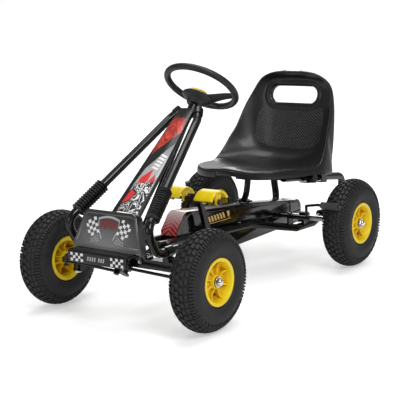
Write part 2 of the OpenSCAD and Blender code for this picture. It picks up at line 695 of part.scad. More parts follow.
// The loop round both toothed wheels, a given distance outside their pitch circles
function loop_outline(out) =
    let (r1 = ring_pitch_r + out, r2 = sprocket_pitch_r + out, gap = norm(crank_at - axle_at),
         rise = atan2(crank_at[2] - axle_at[2], crank_at[0]), lay = acos((r1 - r2) / gap))
    concat(arc(crank_at[0], crank_at[2], r1, rise - lay, rise + lay, 16),
           arc(axle_at[0], axle_at[2], r2, rise + lay, rise + 360 - lay, 14));
module chain() {
    color(steel) side_plate(-3.4, 3.4) difference() {
        polygon(loop_outline(4.2));
        polygon(loop_outline(2.7));
    }
}
module crank_axle() { color(steel) translate(crank_at) facing_left() cylinder(h = 122, r = 7, center = true); }
module crank_arm(s, angle) {
    end = crank_end(angle);
    color(steel) difference() {
        union() {
            side_plate(s > 0 ? 47 : -59, s > 0 ? 59 : -47) union() {
                translate([crank_at[0], crank_at[2]]) circle(12);
                translate([end[0], end[2]]) circle(9);
                polygon([for (k = [[0, -8.5], [crank_len, -6.5], [crank_len, 6.5], [0, 8.5]])
                    [crank_at[0] + k[0] * cos(angle) - k[1] * sin(angle),
                     crank_at[2] + k[0] * sin(angle) + k[1] * cos(angle)]]);
            }
            rod([end[0], s * 50, end[2]], [end[0], s * 118, end[2]], 5);
            rod([end[0], s * 116.6, end[2]], [end[0], s * 121, end[2]], 8);
        }
        translate(crank_at) facing_left() cylinder(h = 160, r = 7 + fix, center = true);
    }
}
module pedal(s, angle) {
    end = crank_end(angle);
    tread_r = 42;
    tread_t = 6;
    lug_y = [66, 108];
    color(yellow) translate([end[0], 0, end[2]]) difference() {
        union() {
            translate([0, s * 90, -10]) rotate([90, 0, 0]) rotate([0, 0, 25]) rotate_extrude(angle = 130)
                translate([tread_r - tread_t, -29]) square([tread_t, 58]);
            for (y = lug_y) side_plate(s > 0 ? y : -y - 6, s > 0 ? y + 6 : -y) {
                circle(9);
                translate([-8, 0]) square([16, 29.5]);
            }
        }
        translate([0, s * 90, 0]) facing_left() cylinder(h = 80, r = 5 + run, center = true);
    }
}

// ---- Steering ----
module steering_column() {
    end = reach_along_column(pitman_at);
    color(steel) {
        at_column(end) cylinder(h = end - hub_face - 5, r = 7);
        at_column(92) cylinder(h = 6, r = 11);
        at_column(end + 2) linear_extrude(4) union() {
            circle(12);
            translate([0, -8]) square([pitman_arm, 16]);
            translate([pitman_arm, 0]) circle(8);
        }
        at_column(end) translate([pitman_arm, 0, 0]) {
            cylinder(h = 26, r = 4, center = true);
            for (z = [11.2, -15.2]) translate([0, 0, z]) cylinder(h = 4, r = 7, $fn = 6);
        }
    }
}
module steering_wheel() {
    reach = wheel_d / 2 - 4;
    color(black) difference() {
        union() {
            at_column(0) rotate_extrude() translate([wheel_d / 2, 0]) circle(grip_d / 2);
            at_column(hub_face + 8) cylinder(h = 8, r = 36);
            for (a = [-115, 115, 180]) at_column(0) rotate(a) intersection() {
                translate([0, 0, -60]) linear_extrude(80)
                    polygon([[0, -22], [reach, -12], [reach, 12], [0, 22]]);
                rotate([90, 0, 0]) linear_extrude(80, center = true)
                    polygon([[14, -hub_face - 7], [26, -hub_face - 7], [reach, -5], [reach, 4],
                        [37, -hub_face - 1], [14, -hub_face - 1]]);
            }
            at_column(hub_face + 29) cylinder(h = 26, r = 22);
        }
        at_column(hub_face + 30) cylinder(h = 26, r = 7 + fix);
        at_column(hub_face + 3) cylinder(h = 6, r = 24);
    }
}
module wheel_cap() {
    color(yellow) at_column(hub_face + 2.9) {
        cylinder(h = 10, r = 23.8);
        translate([0, 0, 9]) cylinder(h = 4, r1 = 23.8, r2 = 17);
    }
}
module knuckle(s) {
    inner = front_track / 2 - shoulder;
    eye = [wheelbase + knuckle_arm, s * kingpin_y, pitman_at[2]];
    color(black) difference() {
        union() {
            translate([wheelbase, s * kingpin_y, tyre_r]) {
                cylinder(h = 44.8, r = 10, center = true);
                translate([0, -7, 13]) cube([knuckle_arm, 14, 4]);
                translate([knuckle_arm, 0, 13]) cylinder(h = 4, r = 9);
            }
            rod([wheelbase, s * (kingpin_y + 7), tyre_r], [wheelbase, s * inner, tyre_r], 8);
            rod([wheelbase, s * inner, tyre_r], [wheelbase, s * (front_track / 2 + 33), tyre_r], journal_r);
            translate([eye[0], eye[1], eye[2] - 14]) cylinder(h = 20, r = 4);
            translate([eye[0], eye[1], eye[2] - 14]) cylinder(h = 3.6, r = 7.5, $fn = 6);
        }
        translate([wheelbase, s * kingpin_y, tyre_r]) cylinder(h = 60, r = 6 + run, center = true);
    }
}
module tie_rod(s) {
    from = pitman_at + s * 6.5 * [-sin(column_lean), 0, cos(column_lean)];
    to = [wheelbase + knuckle_arm, s * kingpin_y, pitman_at[2]];
    color(black) difference() {
        union() {
            rod(from, to, tie_rod_d / 2);
            translate(from) rotate([0, -column_lean, 0]) cylinder(h = 8, r = 8.5, center = true);
            translate(to) cylinder(h = 8, r = 9, center = true);
        }
        translate(from) rotate([0, -column_lean, 0]) cylinder(h = 20, r = 4 + run, center = true);
        translate(to) cylinder(h = 20, r = 5.8, center = true);
    }
}

// ---- Hand brake ----
shoe_angle = 30;
shoe_gap = 6;
shoe_mid_r = tyre_r + shoe_gap + 9;
function shoe_at(s) = [shoe_mid_r * cos(shoe_angle), s * rear_track / 2, tyre_r + shoe_mid_r * sin(shoe_angle)];
lever_bend = [160, -199, 150];
lever_end = [174, -199, 234];
module brake_shaft() {
    color(black) {
        rod(brake_at - [0, 205, 0], brake_at + [0, 143, 0], 6);
        for (s = [-1, 1]) {
            end = shoe_at(s);
            bent_rod([brake_at + [0, s * 136, 0], brake_at + [0, s * 136, 36], [end[0], s * 208, end[2]],
                end + [0, s * 30, 0]], 4);
        }
        bent_rod([brake_at - [0, 199, 0], lever_bend, lever_end], 4.5);
    }
}
module brake_shoes() {
    color(charcoal) for (s = [-1, 1]) difference() {
        translate(shoe_at(s)) rotate([0, -shoe_angle, 0]) cube([14, 54, 16], center = true);
        translate([0, s * rear_track / 2, tyre_r]) facing_left() cylinder(h = 80, r = tyre_r + shoe_gap, center = true);
        translate(shoe_at(s)) facing_left() cylinder(h = 80, r = 4 + fix, center = true);
    }
}
module brake_grip() {
    lever_along = unit(lever_end - lever_bend);
    color(black) difference() {
        rod(lever_bend + 18 * lever_along, lever_end + 5 * lever_along, 8);
        rod(lever_bend, lever_end + 0.3 * lever_along, 4.5 + fix);
    }
}

in_frame() main_frame();
in_frame() front_axle_beam();
in_frame() strut(1);  // strut_left
in_frame() strut(-1);  // strut_right
in_frame() boot(1);  // boot_left
in_frame() boot(-1);  // boot_right
in_frame() strut_clamps();
in_frame() column_bracket();
in_frame() column_bushes();
in_frame() fairing();
in_frame() number_plate();
in_frame() bumper();
in_frame() bumper_brackets();
in_frame() chain_case_upper();
in_frame() chain_case_lower();
in_frame() seat_frame();
in_frame() bearing_housings();
in_frame() axle_bushes();
in_frame() crank_bushes();
in_frame() frame_bolts();
in_frame() kingpins();
in_frame() chain();
in_frame() steering_column();
in_frame() steering_wheel();
in_frame() wheel_cap();
in_frame() knuckle(1);  // knuckle_left
in_frame() knuckle(-1);  // knuckle_right
in_frame() front_wheel(1) wheel_nut();  // wheel_nut_front_left
in_frame() front_wheel(-1) wheel_nut();  // wheel_nut_front_right
in_frame() tie_rod(1);  // tie_rod_left
in_frame() tie_rod(-1);  // tie_rod_right
in_frame() front_wheel(1) tyre();  // tyre_front_left
in_frame() front_wheel(-1) tyre();  // tyre_front_right
in_frame() rear_wheel(1) tyre();  // tyre_rear_left
in_frame() rear_wheel(-1) tyre();  // tyre_rear_right
in_frame() front_wheel(1) rim(bush_r);  // rim_front_left
in_frame() front_wheel(-1) rim(bush_r);  // rim_front_right
in_frame() rear_wheel(1) rim(bush_r);  // rim_rear_left
in_frame() difference() {  // rim_rear_right
    rear_wheel(-1) rim(journal_r + fix);
    translate([0, 20 - rear_track / 2, tyre_r]) rotate([0, 90, 0]) cylinder(h = 60, r = 2.5 + fix, center = true);
}
in_frame() front_wheel(1) hub_bushes();  // hub_bushes_front_left
in_frame() front_wheel(-1) hub_bushes();  // hub_bushes_front_right
in_frame() rear_wheel(1) hub_bushes();  // hub_bushes_rear_left
in_frame() rear_axle();
in_frame() rear_sprocket();
in_frame() drive_pin();
in_frame() for (s = [-1, 1]) rear_wheel(s) wheel_nut();  // wheel_nuts_rear
in_frame() crank_axle();
in_frame() chainring();
in_frame() crank_arm(1, left_crank);  // crank_arm_left
in_frame() crank_arm(-1, right_crank);  // crank_arm_right
in_frame() pedal(1, left_crank);  // pedal_left
in_frame() pedal(-1, right_crank);  // pedal_right
in_frame() seat_shell();
in_frame() seat_carrier();
in_frame() seat_screws();
in_frame() seat_knob();
in_frame() brake_shaft();
in_frame() brake_shoes();
in_frame() brake_grip();
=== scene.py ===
"""Looks of a pedal go kart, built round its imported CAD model.

Metres. +X is forward, +Y is the driver's left and +Z is up. Places come from the CAD nodes' boxes.
"""

import json
import math
import random

import bmesh
import bpy
import numpy as np
from mathutils import Matrix, Vector

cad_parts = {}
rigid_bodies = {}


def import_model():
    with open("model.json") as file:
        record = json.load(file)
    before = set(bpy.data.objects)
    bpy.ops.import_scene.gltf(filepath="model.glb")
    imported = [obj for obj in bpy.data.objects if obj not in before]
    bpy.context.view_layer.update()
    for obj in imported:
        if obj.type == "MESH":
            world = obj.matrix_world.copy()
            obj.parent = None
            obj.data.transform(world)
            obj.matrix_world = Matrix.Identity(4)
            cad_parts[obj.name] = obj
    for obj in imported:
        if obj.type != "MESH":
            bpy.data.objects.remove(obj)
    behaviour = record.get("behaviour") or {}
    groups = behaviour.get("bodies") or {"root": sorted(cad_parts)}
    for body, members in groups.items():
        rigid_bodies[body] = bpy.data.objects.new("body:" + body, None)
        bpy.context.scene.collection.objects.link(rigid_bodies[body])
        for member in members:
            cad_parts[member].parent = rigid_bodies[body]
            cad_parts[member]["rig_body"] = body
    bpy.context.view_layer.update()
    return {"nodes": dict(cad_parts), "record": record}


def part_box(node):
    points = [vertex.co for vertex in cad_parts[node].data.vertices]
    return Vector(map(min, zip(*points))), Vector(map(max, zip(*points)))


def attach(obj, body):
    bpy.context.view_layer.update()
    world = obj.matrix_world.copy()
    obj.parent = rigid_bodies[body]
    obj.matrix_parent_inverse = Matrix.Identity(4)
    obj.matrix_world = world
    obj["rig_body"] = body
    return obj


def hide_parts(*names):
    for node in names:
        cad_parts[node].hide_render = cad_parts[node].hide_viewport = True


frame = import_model()
NODES = frame["nodes"]
MM = 0.001


def middle(node):
    low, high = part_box(node)
    return (low + high) / 2


AXLE = middle("rear_axle")              # the rear axle is the origin of the kart's own drawing
BASE = Vector((AXLE.x, 0.0, 0.0))


def kart(x, y, z):
    """A point given in millimetres from the ground below the rear axle."""
    return BASE + Vector((x, y, z)) * MM


# ---------------------------------------------------------------- node materials
class Shader:
    """Builds one material. Its methods add a node and return the socket that gives its result."""

    def __init__(self, name):
        self.mat = bpy.data.materials.new(name)
        self.mat.use_nodes = True
        self.tree = self.mat.node_tree
        self.tree.nodes.clear()
        self.out = self.tree.nodes.new("ShaderNodeOutputMaterial")
        self.bsdf = self.tree.nodes.new("ShaderNodeBsdfPrincipled")
        self.link(self.bsdf.outputs[0], self.out.inputs["Surface"])

    def link(self, value, socket):
        if isinstance(value, bpy.types.NodeSocket):
            self.tree.links.new(value, socket)
        elif isinstance(value, (tuple, list)) and len(value) == 3 and socket.type == "RGBA":
            socket.default_value = (*value, 1.0)
        else:
            socket.default_value = value

    def node(self, kind, settings=None, **inputs):
        made = self.tree.nodes.new(kind)
        for key, value in (settings or {}).items():
            setattr(made, key, value)
        for key, value in inputs.items():
            self.link(value, made.inputs[key.replace("_", " ")])
        return made

    def set(self, **inputs):
        for key, value in inputs.items():
            self.link(value, self.bsdf.inputs[key.replace("_", " ")])
        return self

    def math(self, operation, a, b=0.0, c=0.0):
        made = self.node("ShaderNodeMath", {"operation": operation})
        for i, value in enumerate((a, b, c)):
            self.link(value, made.inputs[i])
        return made.outputs[0]

    def times(self, a, b):
        return self.math("MULTIPLY", a, b)

    def plus(self, a, b):
        return self.math("ADD", a, b)

    def minus(self, a, b):
        return self.math("SUBTRACT", a, b)

    def size(self, a):
        return self.math("ABSOLUTE", a)

    def point(self):
        return self.node("ShaderNodeTexCoord").outputs["Object"]

    def uv(self):
        split = self.node("ShaderNodeSeparateXYZ", Vector=self.node("ShaderNodeTexCoord").outputs["UV"])
        return split.outputs[0], split.outputs[1]

    def split(self, vector):
        made = self.node("ShaderNodeSeparateXYZ", Vector=vector)
        return made.outputs[0], made.outputs[1], made.outputs[2]

    def join(self, x, y, z=0.0):
        return self.node("ShaderNodeCombineXYZ", X=x, Y=y, Z=z).outputs[0]

    def noise(self, scale, detail=4.0, roughness=0.55, vector=None, distortion=0.0):
        made = self.node("ShaderNodeTexNoise", Scale=scale, Detail=detail, Roughness=roughness,
                         Distortion=distortion, Vector=vector or self.point())
        return made.outputs["Fac"]

    def stretched(self, sx, sy, sz):
        return self.node("ShaderNodeMapping", Vector=self.point(), Scale=(sx, sy, sz)).outputs[0]

    def ramp(self, value, low, high, to_low=0.0, to_high=1.0):
        made = self.node("ShaderNodeMapRange", Value=value)
        for i, number in enumerate((low, high, to_low, to_high)):
            self.link(number, made.inputs[i + 1])
        return made.outputs[0]

    def mix(self, factor, a, b):
        made = self.node("ShaderNodeMix", {"data_type": "RGBA"})
        self.link(factor, made.inputs[0])
        self.link(a if isinstance(a, bpy.types.NodeSocket) else (*a, 1.0), made.inputs[6])
        self.link(b if isinstance(b, bpy.types.NodeSocket) else (*b, 1.0), made.inputs[7])
        return made.outputs[2]

    def bump(self, height, strength, distance, normal=None):
        made = self.node("ShaderNodeBump", Height=height, Strength=strength, Distance=distance)
        if normal is not None:
            self.link(normal, made.inputs["Normal"])
        return made.outputs[0]

    def soft_edges(self, radius):
        return self.node("ShaderNodeBevel", {"samples": 6}, Radius=radius).outputs[0]

    def hollow(self, distance):
        """1 in the open, towards 0 in corners and grooves."""
        return self.node("ShaderNodeAmbientOcclusion", {"samples": 8}, Distance=distance).outputs["AO"]

    def facing_up(self):
        return self.split(self.node("ShaderNodeNewGeometry").outputs["Normal"])[2]


def scaled(colour, share):
    return tuple(c * share for c in colour)


def painted(name, colour, roughness=0.3, coat=0.5, edge=0.0008):
    """Powder coat: faint orange peel, soft edges, a little dust on what faces up."""
    s = Shader(name)
    peel = s.noise(900.0, 2.0)
    cloud = s.noise(35.0, 5.0)
    dust = s.times(s.ramp(s.facing_up(), 0.3, 1.0), s.ramp(cloud, 0.45, 0.8, 0.0, 0.35))
    lighter = tuple(min(1.0, c * 2.2 + 0.008) for c in colour)
    s.set(Base_Color=s.mix(dust, colour, lighter),
          Roughness=s.plus(s.ramp(cloud, 0.3, 0.7, roughness - 0.06, roughness + 0.08),
                           s.times(dust, 0.3)),
          Coat_Weight=coat, Coat_Roughness=0.10, Specular_IOR_Level=0.3,
          Normal=s.bump(peel, 0.08, 0.0004, s.soft_edges(edge)))
    return s.mat


def moulded(name, colour, roughness=0.45, grain=0.25, grain_size=1400.0, coat=0.0, painted_shade=None, edge=0.0008):
    """Moulded plastic: fine spark-eroded grain, slow colour drift, and painted shade that darkens its
    corners.
    """
    s = Shader(name)
    fine = s.noise(grain_size, 3.0, 0.7)
    slow = s.noise(18.0, 3.0)
    tone = s.mix(s.ramp(slow, 0.3, 0.75), scaled(colour, 0.88), tuple(min(1, c * 1.1) for c in colour))
    if painted_shade:
        # painted shade: ambient occlusion turns the colour toward the given darker tone in corners and
        # recesses
        tone = s.mix(s.ramp(s.hollow(0.018), 0.25, 0.95), painted_shade, tone)
    s.set(Base_Color=tone, Roughness=s.ramp(slow, 0.3, 0.7, roughness - 0.05, roughness + 0.07),
          Coat_Weight=coat, Coat_Roughness=0.12, Specular_IOR_Level=0.35,
          Normal=s.bump(fine, grain, 0.0005, s.soft_edges(edge)))
    return s.mat


def rubber(name, colour, roughness=0.7, dusty=0.0, grain=0.3):
    """Rubber: pitted skin, lighter scuffs on high spots and dust held in the grooves."""
    s = Shader(name)
    pits = s.noise(1100.0, 4.0, 0.7)
    scuff = s.noise(60.0, 6.0, 0.65)
    tone = s.mix(s.ramp(scuff, 0.42, 0.72), colour, tuple(c * 1.9 + 0.003 for c in colour))
    if dusty:
        groove = s.ramp(s.hollow(0.01), 0.9, 0.3, 0.0, dusty)
        tone = s.mix(groove, tone, (0.10, 0.095, 0.088))
    s.set(Base_Color=tone, Roughness=s.ramp(scuff, 0.3, 0.7, roughness - 0.1, roughness + 0.1),
          Specular_IOR_Level=0.45, Normal=s.bump(pits, grain, 0.0006))
    return s.mat


def metal(name, colour, roughness=0.3, brushed=0.0, edge=0.0005, tint=None):
    """Plated or bare steel: cloudy plating, fine brush marks and painted shade darkening its corners."""
    s = Shader(name)
    cloud = s.noise(140.0, 5.0, 0.6)
    brush = s.noise(500.0, 3.0, 0.6, vector=s.stretched(1.0, 6.0, 1.0))
    tone = s.mix(s.ramp(cloud, 0.35, 0.7), colour, tint or scaled(colour, 0.8))
    # painted shade: ambient occlusion makes the colour darker towards corners and grooves
    tone = s.mix(s.ramp(s.hollow(0.006), 0.2, 0.9), scaled(colour, 0.35), tone)
    s.set(Base_Color=tone, Metallic=1.0,
          Roughness=s.plus(s.ramp(cloud, 0.3, 0.7, roughness * 0.8, roughness * 1.2),
                           s.times(brush, brushed)),
          Normal=s.bump(brush, 0.1 + brushed, 0.0002, s.soft_edges(edge)))
    return s.mat


BLACK_PAINT = painted("black_paint", (0.003, 0.003, 0.0033), 0.20, 0.32)
BLACK_PLASTIC = moulded("black_plastic", (0.007, 0.007, 0.0075), 0.38, 0.2)
SEAT_PLASTIC = moulded("seat_plastic", (0.0085, 0.0085, 0.009), 0.34, 0.22, 1700.0, coat=0.15)
# the ribs are the seat's own black plastic; their lighter colour is a painted highlight
SEAT_RIBS_HIGHLIGHT = moulded("seat_ribs_painted_highlight", (0.085, 0.085, 0.088), 0.40, 0.2, 1700.0)
# the orange tone given for YELLOW is painted shade in the rims' pockets and other recesses
YELLOW = moulded("yellow_plastic", (0.97, 0.71, 0.004), 0.30, 0.08, coat=0.3, painted_shade=(0.72, 0.34, 0.002))
TYRE = rubber("tyre_rubber", (0.009, 0.009, 0.0095), 0.62, 0.22)
BOOT = rubber("boot_rubber", (0.004, 0.004, 0.004), 0.30, 0.0, 0.08)
GRIP = rubber("grip_rubber", (0.006, 0.006, 0.006), 0.45, 0.0, 0.4)
BRAKE_RUBBER = rubber("brake_rubber", (0.03, 0.03, 0.03), 0.85)
ZINC = metal("zinc", (0.66, 0.66, 0.68), 0.28, 0.12, tint=(0.60, 0.58, 0.50))
CHROME = metal("chrome", (0.82, 0.82, 0.84), 0.08)
CHAIN = metal("chain_steel", (0.30, 0.29, 0.28), 0.4, 0.1)
NYLON = moulded("nylon", (0.05, 0.05, 0.05), 0.5, 0.1)
BY_SLOT = {"black_paint": BLACK_PAINT, "gloss_case": BLACK_PAINT, "black_plastic": BLACK_PLASTIC,
           "plate_plastic": BLACK_PLASTIC, "seat_plastic": SEAT_PLASTIC, "yellow_plastic": YELLOW,
           "tyre_rubber": TYRE, "boot_rubber": BOOT, "grip_rubber": GRIP, "brake_rubber": BRAKE_RUBBER,
           "bush_nylon": NYLON, "zinc": ZINC, "chrome": CHROME, "chain_steel": CHAIN}


# ---------------------------------------------------------------- mesh helpers
def body_of(node):
    return NODES[node]["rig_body"]


def piece(name, part, material, stands_for="", body=None, angle=40.0, uvs=None):
    """A new mesh in the row frame. It rides on the body of the node it stands for, unless body says."""
    mesh = mesh_from(name, part)
    mesh.validate()
    if uvs is not None:
        layer = mesh.uv_layers.new(name="panel")
        for loop in mesh.loops:
            layer.data[loop.index].uv = uvs[loop.vertex_index]
    return dress(name, mesh, material, stands_for, body, angle)


def finish_mesh(mesh, angle=None):
    """Turns every face outwards and, given an angle, shades smooth with sharper creases kept."""
    work = bmesh.new()
    work.from_mesh(mesh)
    bmesh.ops.recalc_face_normals(work, faces=work.faces)
    work.to_mesh(mesh)
    work.free()
    if angle is not None:
        mesh.shade_smooth()
        mesh.set_sharp_from_angle(angle=math.radians(angle))


def dress(name, mesh, material, stands_for="", body=None, angle=40.0):
    """Puts a mesh in the scene with its material and hides the CAD node it stands for."""
    finish_mesh(mesh, angle)
    return put(name, mesh, material, stands_for, body)


def put(name, mesh, material, stands_for="", body=None, place=None):
    made = bpy.data.objects.new(name, mesh)
    bpy.context.scene.collection.objects.link(made)
    if place is not None:
        made.matrix_world = place
    if not mesh.materials:
        mesh.materials.append(material)
    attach(made, body or body_of(stands_for))
    if stands_for:
        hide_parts(stands_for)
    return made


def slot_of(node):
    return next(s["material_slot"] for s in frame["record"]["subparts"] if s["node"] == node)


def modifier(obj, kind, **settings):
    made = obj.modifiers.new(kind.lower(), kind)
    for key, value in settings.items():
        setattr(made, key, value)


def grid_faces(rows, columns, close_rows=False, close_columns=False):
    """Quads between neighbouring points of a rows by columns grid."""
    faces = []
    for i in range(rows if close_rows else rows - 1):
        for j in range(columns if close_columns else columns - 1):
            a, b = i * columns + j, i * columns + (j + 1) % columns
            c, d = ((i + 1) % rows) * columns + (j + 1) % columns, ((i + 1) % rows) * columns + j
            faces.append((a, b, c, d))
    return faces


def turned(profile, steps):
    """Vertices and faces of a closed (radius, height) profile turned about z. Heights run along z."""
    verts = [(r * math.cos(t), r * math.sin(t), h)
             for t in (2 * math.pi * i / steps for i in range(steps)) for r, h in profile]
    return verts, grid_faces(steps, len(profile), True, True)


def smooth_line(points, parts, closed=False):
    """Points along a Catmull-Rom curve through the given ones, parts per span."""
    pts = [np.array(p, float) for p in points]
    n = len(pts)
    out = []
    for i in range(n if closed else n - 1):
        a, b = pts[i - 1] if closed or i else 2 * pts[0] - pts[1], pts[i]
        c = pts[(i + 1) % n]
        d = pts[(i + 2) % n] if closed or i + 2 < n else 2 * pts[-1] - pts[-2]
        for k in range(parts):
            t = k / parts
            out.append(0.5 * (2 * b + (c - a) * t + (2 * a - 5 * b + 4 * c - d) * t * t
                              + (3 * b - a - 3 * c + d) * t ** 3))
    if not closed:
        out.append(pts[-1])
    return out


def bend_path(points, radius, steps=8):
    """The path with each corner turned into an arc of about the given radius."""
    pts = [Vector(p) for p in points]
    out = [pts[0]]
    for a, b, c in zip(pts, pts[1:], pts[2:]):
        u, v = (a - b).normalized(), (c - b).normalized()
        turn = math.pi - u.angle(v)
        reach = min(radius * math.tan(turn / 2), 0.45 * (a - b).length, 0.45 * (c - b).length)
        start, end = b + u * reach, b + v * reach
        for k in range(steps + 1):
            t = k / steps
            out.append(start * (1 - t) ** 2 + b * 2 * t * (1 - t) + end * t * t)
    return out + [pts[-1]]


def sweep(path, radius, sides=24, wall=None):
    """Vertices and faces of a round bar along a path, with flat ends, or bored ends if it has a wall."""
    path = [Vector(p) for p in path]
    n = len(path)
    tangents = [(path[min(i + 1, n - 1)] - path[max(i - 1, 0)]).normalized() for i in range(n)]
    side = tangents[0].orthogonal().normalized()
    verts = []
    for i, (p, t) in enumerate(zip(path, tangents)):
        side = (side - t * side.dot(t)).normalized()
        other = t.cross(side)
        verts += [p + (side * math.cos(a) + other * math.sin(a)) * radius
                  for a in (2 * math.pi * k / sides for k in range(sides))]
    faces = grid_faces(n, sides, False, True)
    for end, inward in ((0, tangents[0]), (n - 1, -tangents[-1])):
        order = (1, -1)[end == 0]
        ring = range(end * sides, end * sides + sides)
        if not wall:
            faces.append(tuple(ring)[::order])
            continue
        base = len(verts)                # a rim, a bore and a floor a little way in
        bore = (radius - wall) / radius
        for depth in (0.0, 0.02):
            verts += [path[end] + (verts[k] - path[end]) * bore + inward * depth for k in ring]
        for k in range(sides):
            m = (k + 1) % sides
            faces.append((ring[k], ring[m], base + m, base + k)[::order])
            faces.append((base + k, base + m, base + sides + m, base + sides + k)[::order])
        faces.append(tuple(range(base + sides, base + 2 * sides))[::order])
    return verts, faces


def merge(*parts):
    """One list of vertices and one of faces from several."""
    verts, faces = [], []
    for v, f in parts:
        faces += [tuple(k + len(verts) for k in face) for face in f]
        verts += list(v)
    return verts, faces


def moved(part, matrix):
    verts, faces = part
    return [matrix @ Vector(v) for v in verts], faces


def laid(part, place):
    """The part with place(x, y, z) giving each of its points."""
    return [place(*v) for v in part[0]], part[1]


def in_mm(points):
    return [tuple(c * MM for c in p) for p in points]


def mesh_from(name, part):
    mesh = bpy.data.meshes.new(name)
    mesh.from_pydata([tuple(v) for v in part[0]], [], [tuple(f) for f in part[1]])
    return mesh


def clockwise(outline):
    return sum(a[0] * b[1] - b[0] * a[1] for a, b in zip(outline, outline[1:] + outline[:1])) < 0


def inset(outline, d, sharpest=0.5):
    """The outline (anticlockwise) moved inwards by d. A smaller sharpest lets sharp corners move further."""
    pts = [Vector(p) for p in outline]
    out = []
    for a, b, c in zip(pts[-1:] + pts[:-1], pts, pts[1:] + pts[:1]):
        n1, n2 = Vector((a.y - b.y, b.x - a.x)).normalized(), Vector((b.y - c.y, c.x - b.x)).normalized()
        half = n1 + n2
        out.append(b + half * (d / max(half.dot(n1), sharpest)))
    return out


def slab(outline, low, high, bevel=0.0, steps=2):
    """A flat outline [(x, y), ...] raised from z = low to z = high, its edges rounded by bevel."""
    pts = [Vector((x, y)) for x, y in outline]
    n = len(pts)

    inward = -1.0 if clockwise(pts) else 1.0
    rings = []
    if bevel:
        for k in range(steps + 1):
            t = math.pi / 2 * k / steps
            rings.append((low + bevel * (1 - math.cos(t)), bevel * (1 - math.sin(t))))
        rings += [(low + high - z, d) for z, d in reversed(rings)]
    else:
        rings = [(low, 0.0), (high, 0.0)]
    verts = [Vector((p.x, p.y, z)) for z, d in rings for p in inset(pts, inward * d, 0.35)]
    faces = grid_faces(len(rings), n, False, True)
    faces.append(tuple(range(n))[::-1])
    faces.append(tuple(range((len(rings) - 1) * n, len(rings) * n)))
    return verts, faces


def rounded_outline(points, radius, steps=6):
    """A closed 2-D outline with each corner turned into an arc. radius is one number or one per corner."""
    n = len(points)
    radii = radius if isinstance(radius, (list, tuple)) else [radius] * n
    out = []
    for i in range(n):
        a, b, c = (Vector(points[k % n]) for k in (i - 1, i, i + 1))
        u, v = (a - b).normalized(), (c - b).normalized()
        turn = math.pi - u.angle(v)
        reach = min(radii[i] * math.tan(turn / 2), 0.48 * (a - b).length, 0.48 * (c - b).length)
        if reach < 1e-6:
            out.append(tuple(b))
            continue
        for k in range(steps + 1):
            t = k / steps
            p = (b + u * reach) * (1 - t) ** 2 + b * 2 * t * (1 - t) + (b + v * reach) * t * t
            out.append(tuple(p))
    return out


def arc(cx, cy, r, start, end, steps):
    return [(cx + r * math.cos(math.radians(start + (end - start) * i / steps)),
             cy + r * math.sin(math.radians(start + (end - start) * i / steps))) for i in range(steps + 1)]


# ---------------------------------------------------------------- wheels
def radius_of(node):
    low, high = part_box(node)
    return (high.z - low.z) / 2


TYRE_R = radius_of("tyre_front_left")
RIM_R = radius_of("rim_front_left")
CROWN = 0.044                           # radius of the tread's round section
LUGS = 42                               # tread blocks round the middle row
RIBS = 8                                # ribs on each face of a rim


def tread_radius(w):
    """Outside radius of the tread at w from the tyre's middle."""
    return TYRE_R - CROWN + math.sqrt(CROWN ** 2 - w * w)


def tyre_mesh():
    """A knobbly tyre: a casing and separate tread blocks that stand on it. Drawn about z, outboard up."""
    half = in_mm([(50.4, 29.9), (54, 30.1), (58.6, 30.2), (60.4, 31.6), (61.6, 34.2), (63.6, 35.4),
                  (65.4, 34.9), (67, 35.4), (72, 37.2), (78, 38.4), (85, 38.7), (92, 37.6), (98, 35.2),
                  (103.6, 32.2), (109.5, 27), (114.6, 20), (117.8, 12), (119.2, 5)])    # bead to crown
    hollow = in_mm([(50.5, 26), (62, 31), (82, 34), (97, 30), (108, 20)])
    profile = half + [(r, -w) for r, w in reversed(half)] + [(r, -w) for r, w in hollow] \
        + in_mm([(115, 0)]) + hollow[::-1]
    parts = [turned(profile, 96)]
    pitch = 2 * math.pi / LUGS
    rng = random.Random(4)

    def block(w_a, w_b, around, at, lean=0.0, root=7.5):
        """One lug between two widths; around is its length along the tread."""
        verts = []
        w_low, w_high = sorted((w_a, w_b))
        for level, grow in ((0.0, 1.0), (0.78, 0.9), (1.0, 0.78)):
            mid, span = (w_low + w_high) / 2, (w_high - w_low) / 2 * grow
            for iw in range(3):
                w = mid + span * (iw - 1)
                top = tread_radius(w * MM)
                low = top - root * MM
                r = low + (top - low) * level
                for ia in range(3):
                    a = at + (around * grow * (ia - 1) / 2 + lean * (w - mid)) * MM / (TYRE_R - 0.004)
                    verts.append((r * math.cos(a), r * math.sin(a), w * MM))
        faces = [(18 + i * 3 + j, 18 + i * 3 + j + 1, 18 + (i + 1) * 3 + j + 1, 18 + (i + 1) * 3 + j)
                 for i in range(2) for j in range(2)]
        rim = [0, 1, 2, 5, 8, 7, 6, 3]
        for lift in (0, 9):
            faces += [(rim[k] + lift, rim[(k + 1) % 8] + lift, rim[(k + 1) % 8] + lift + 9, rim[k] + lift + 9)
                      for k in range(8)]
        faces.append(tuple(rim[::-1]))
        return verts, faces

    for i in range(LUGS):
        at = i * pitch
        parts.append(block(-5.6, 5.6, 12.6 + rng.uniform(-0.2, 0.2), at))
        for s in (-1, 1):
            parts.append(block(s * 7.6, s * 15.8, 13.2, at + pitch / 2, s * 0.18))
            parts.append(block(s * 17.6, s * 25.2, 12.0, at + 0.06 * s, s * 0.25))
            for k in (0, 1):
                parts.append(block(s * 27.0, s * (35.6 - 1.6 * k), 6.4, at + pitch * (k + 0.5) / 2, root=6.0))
    return mesh_from("tyre", merge(*parts))


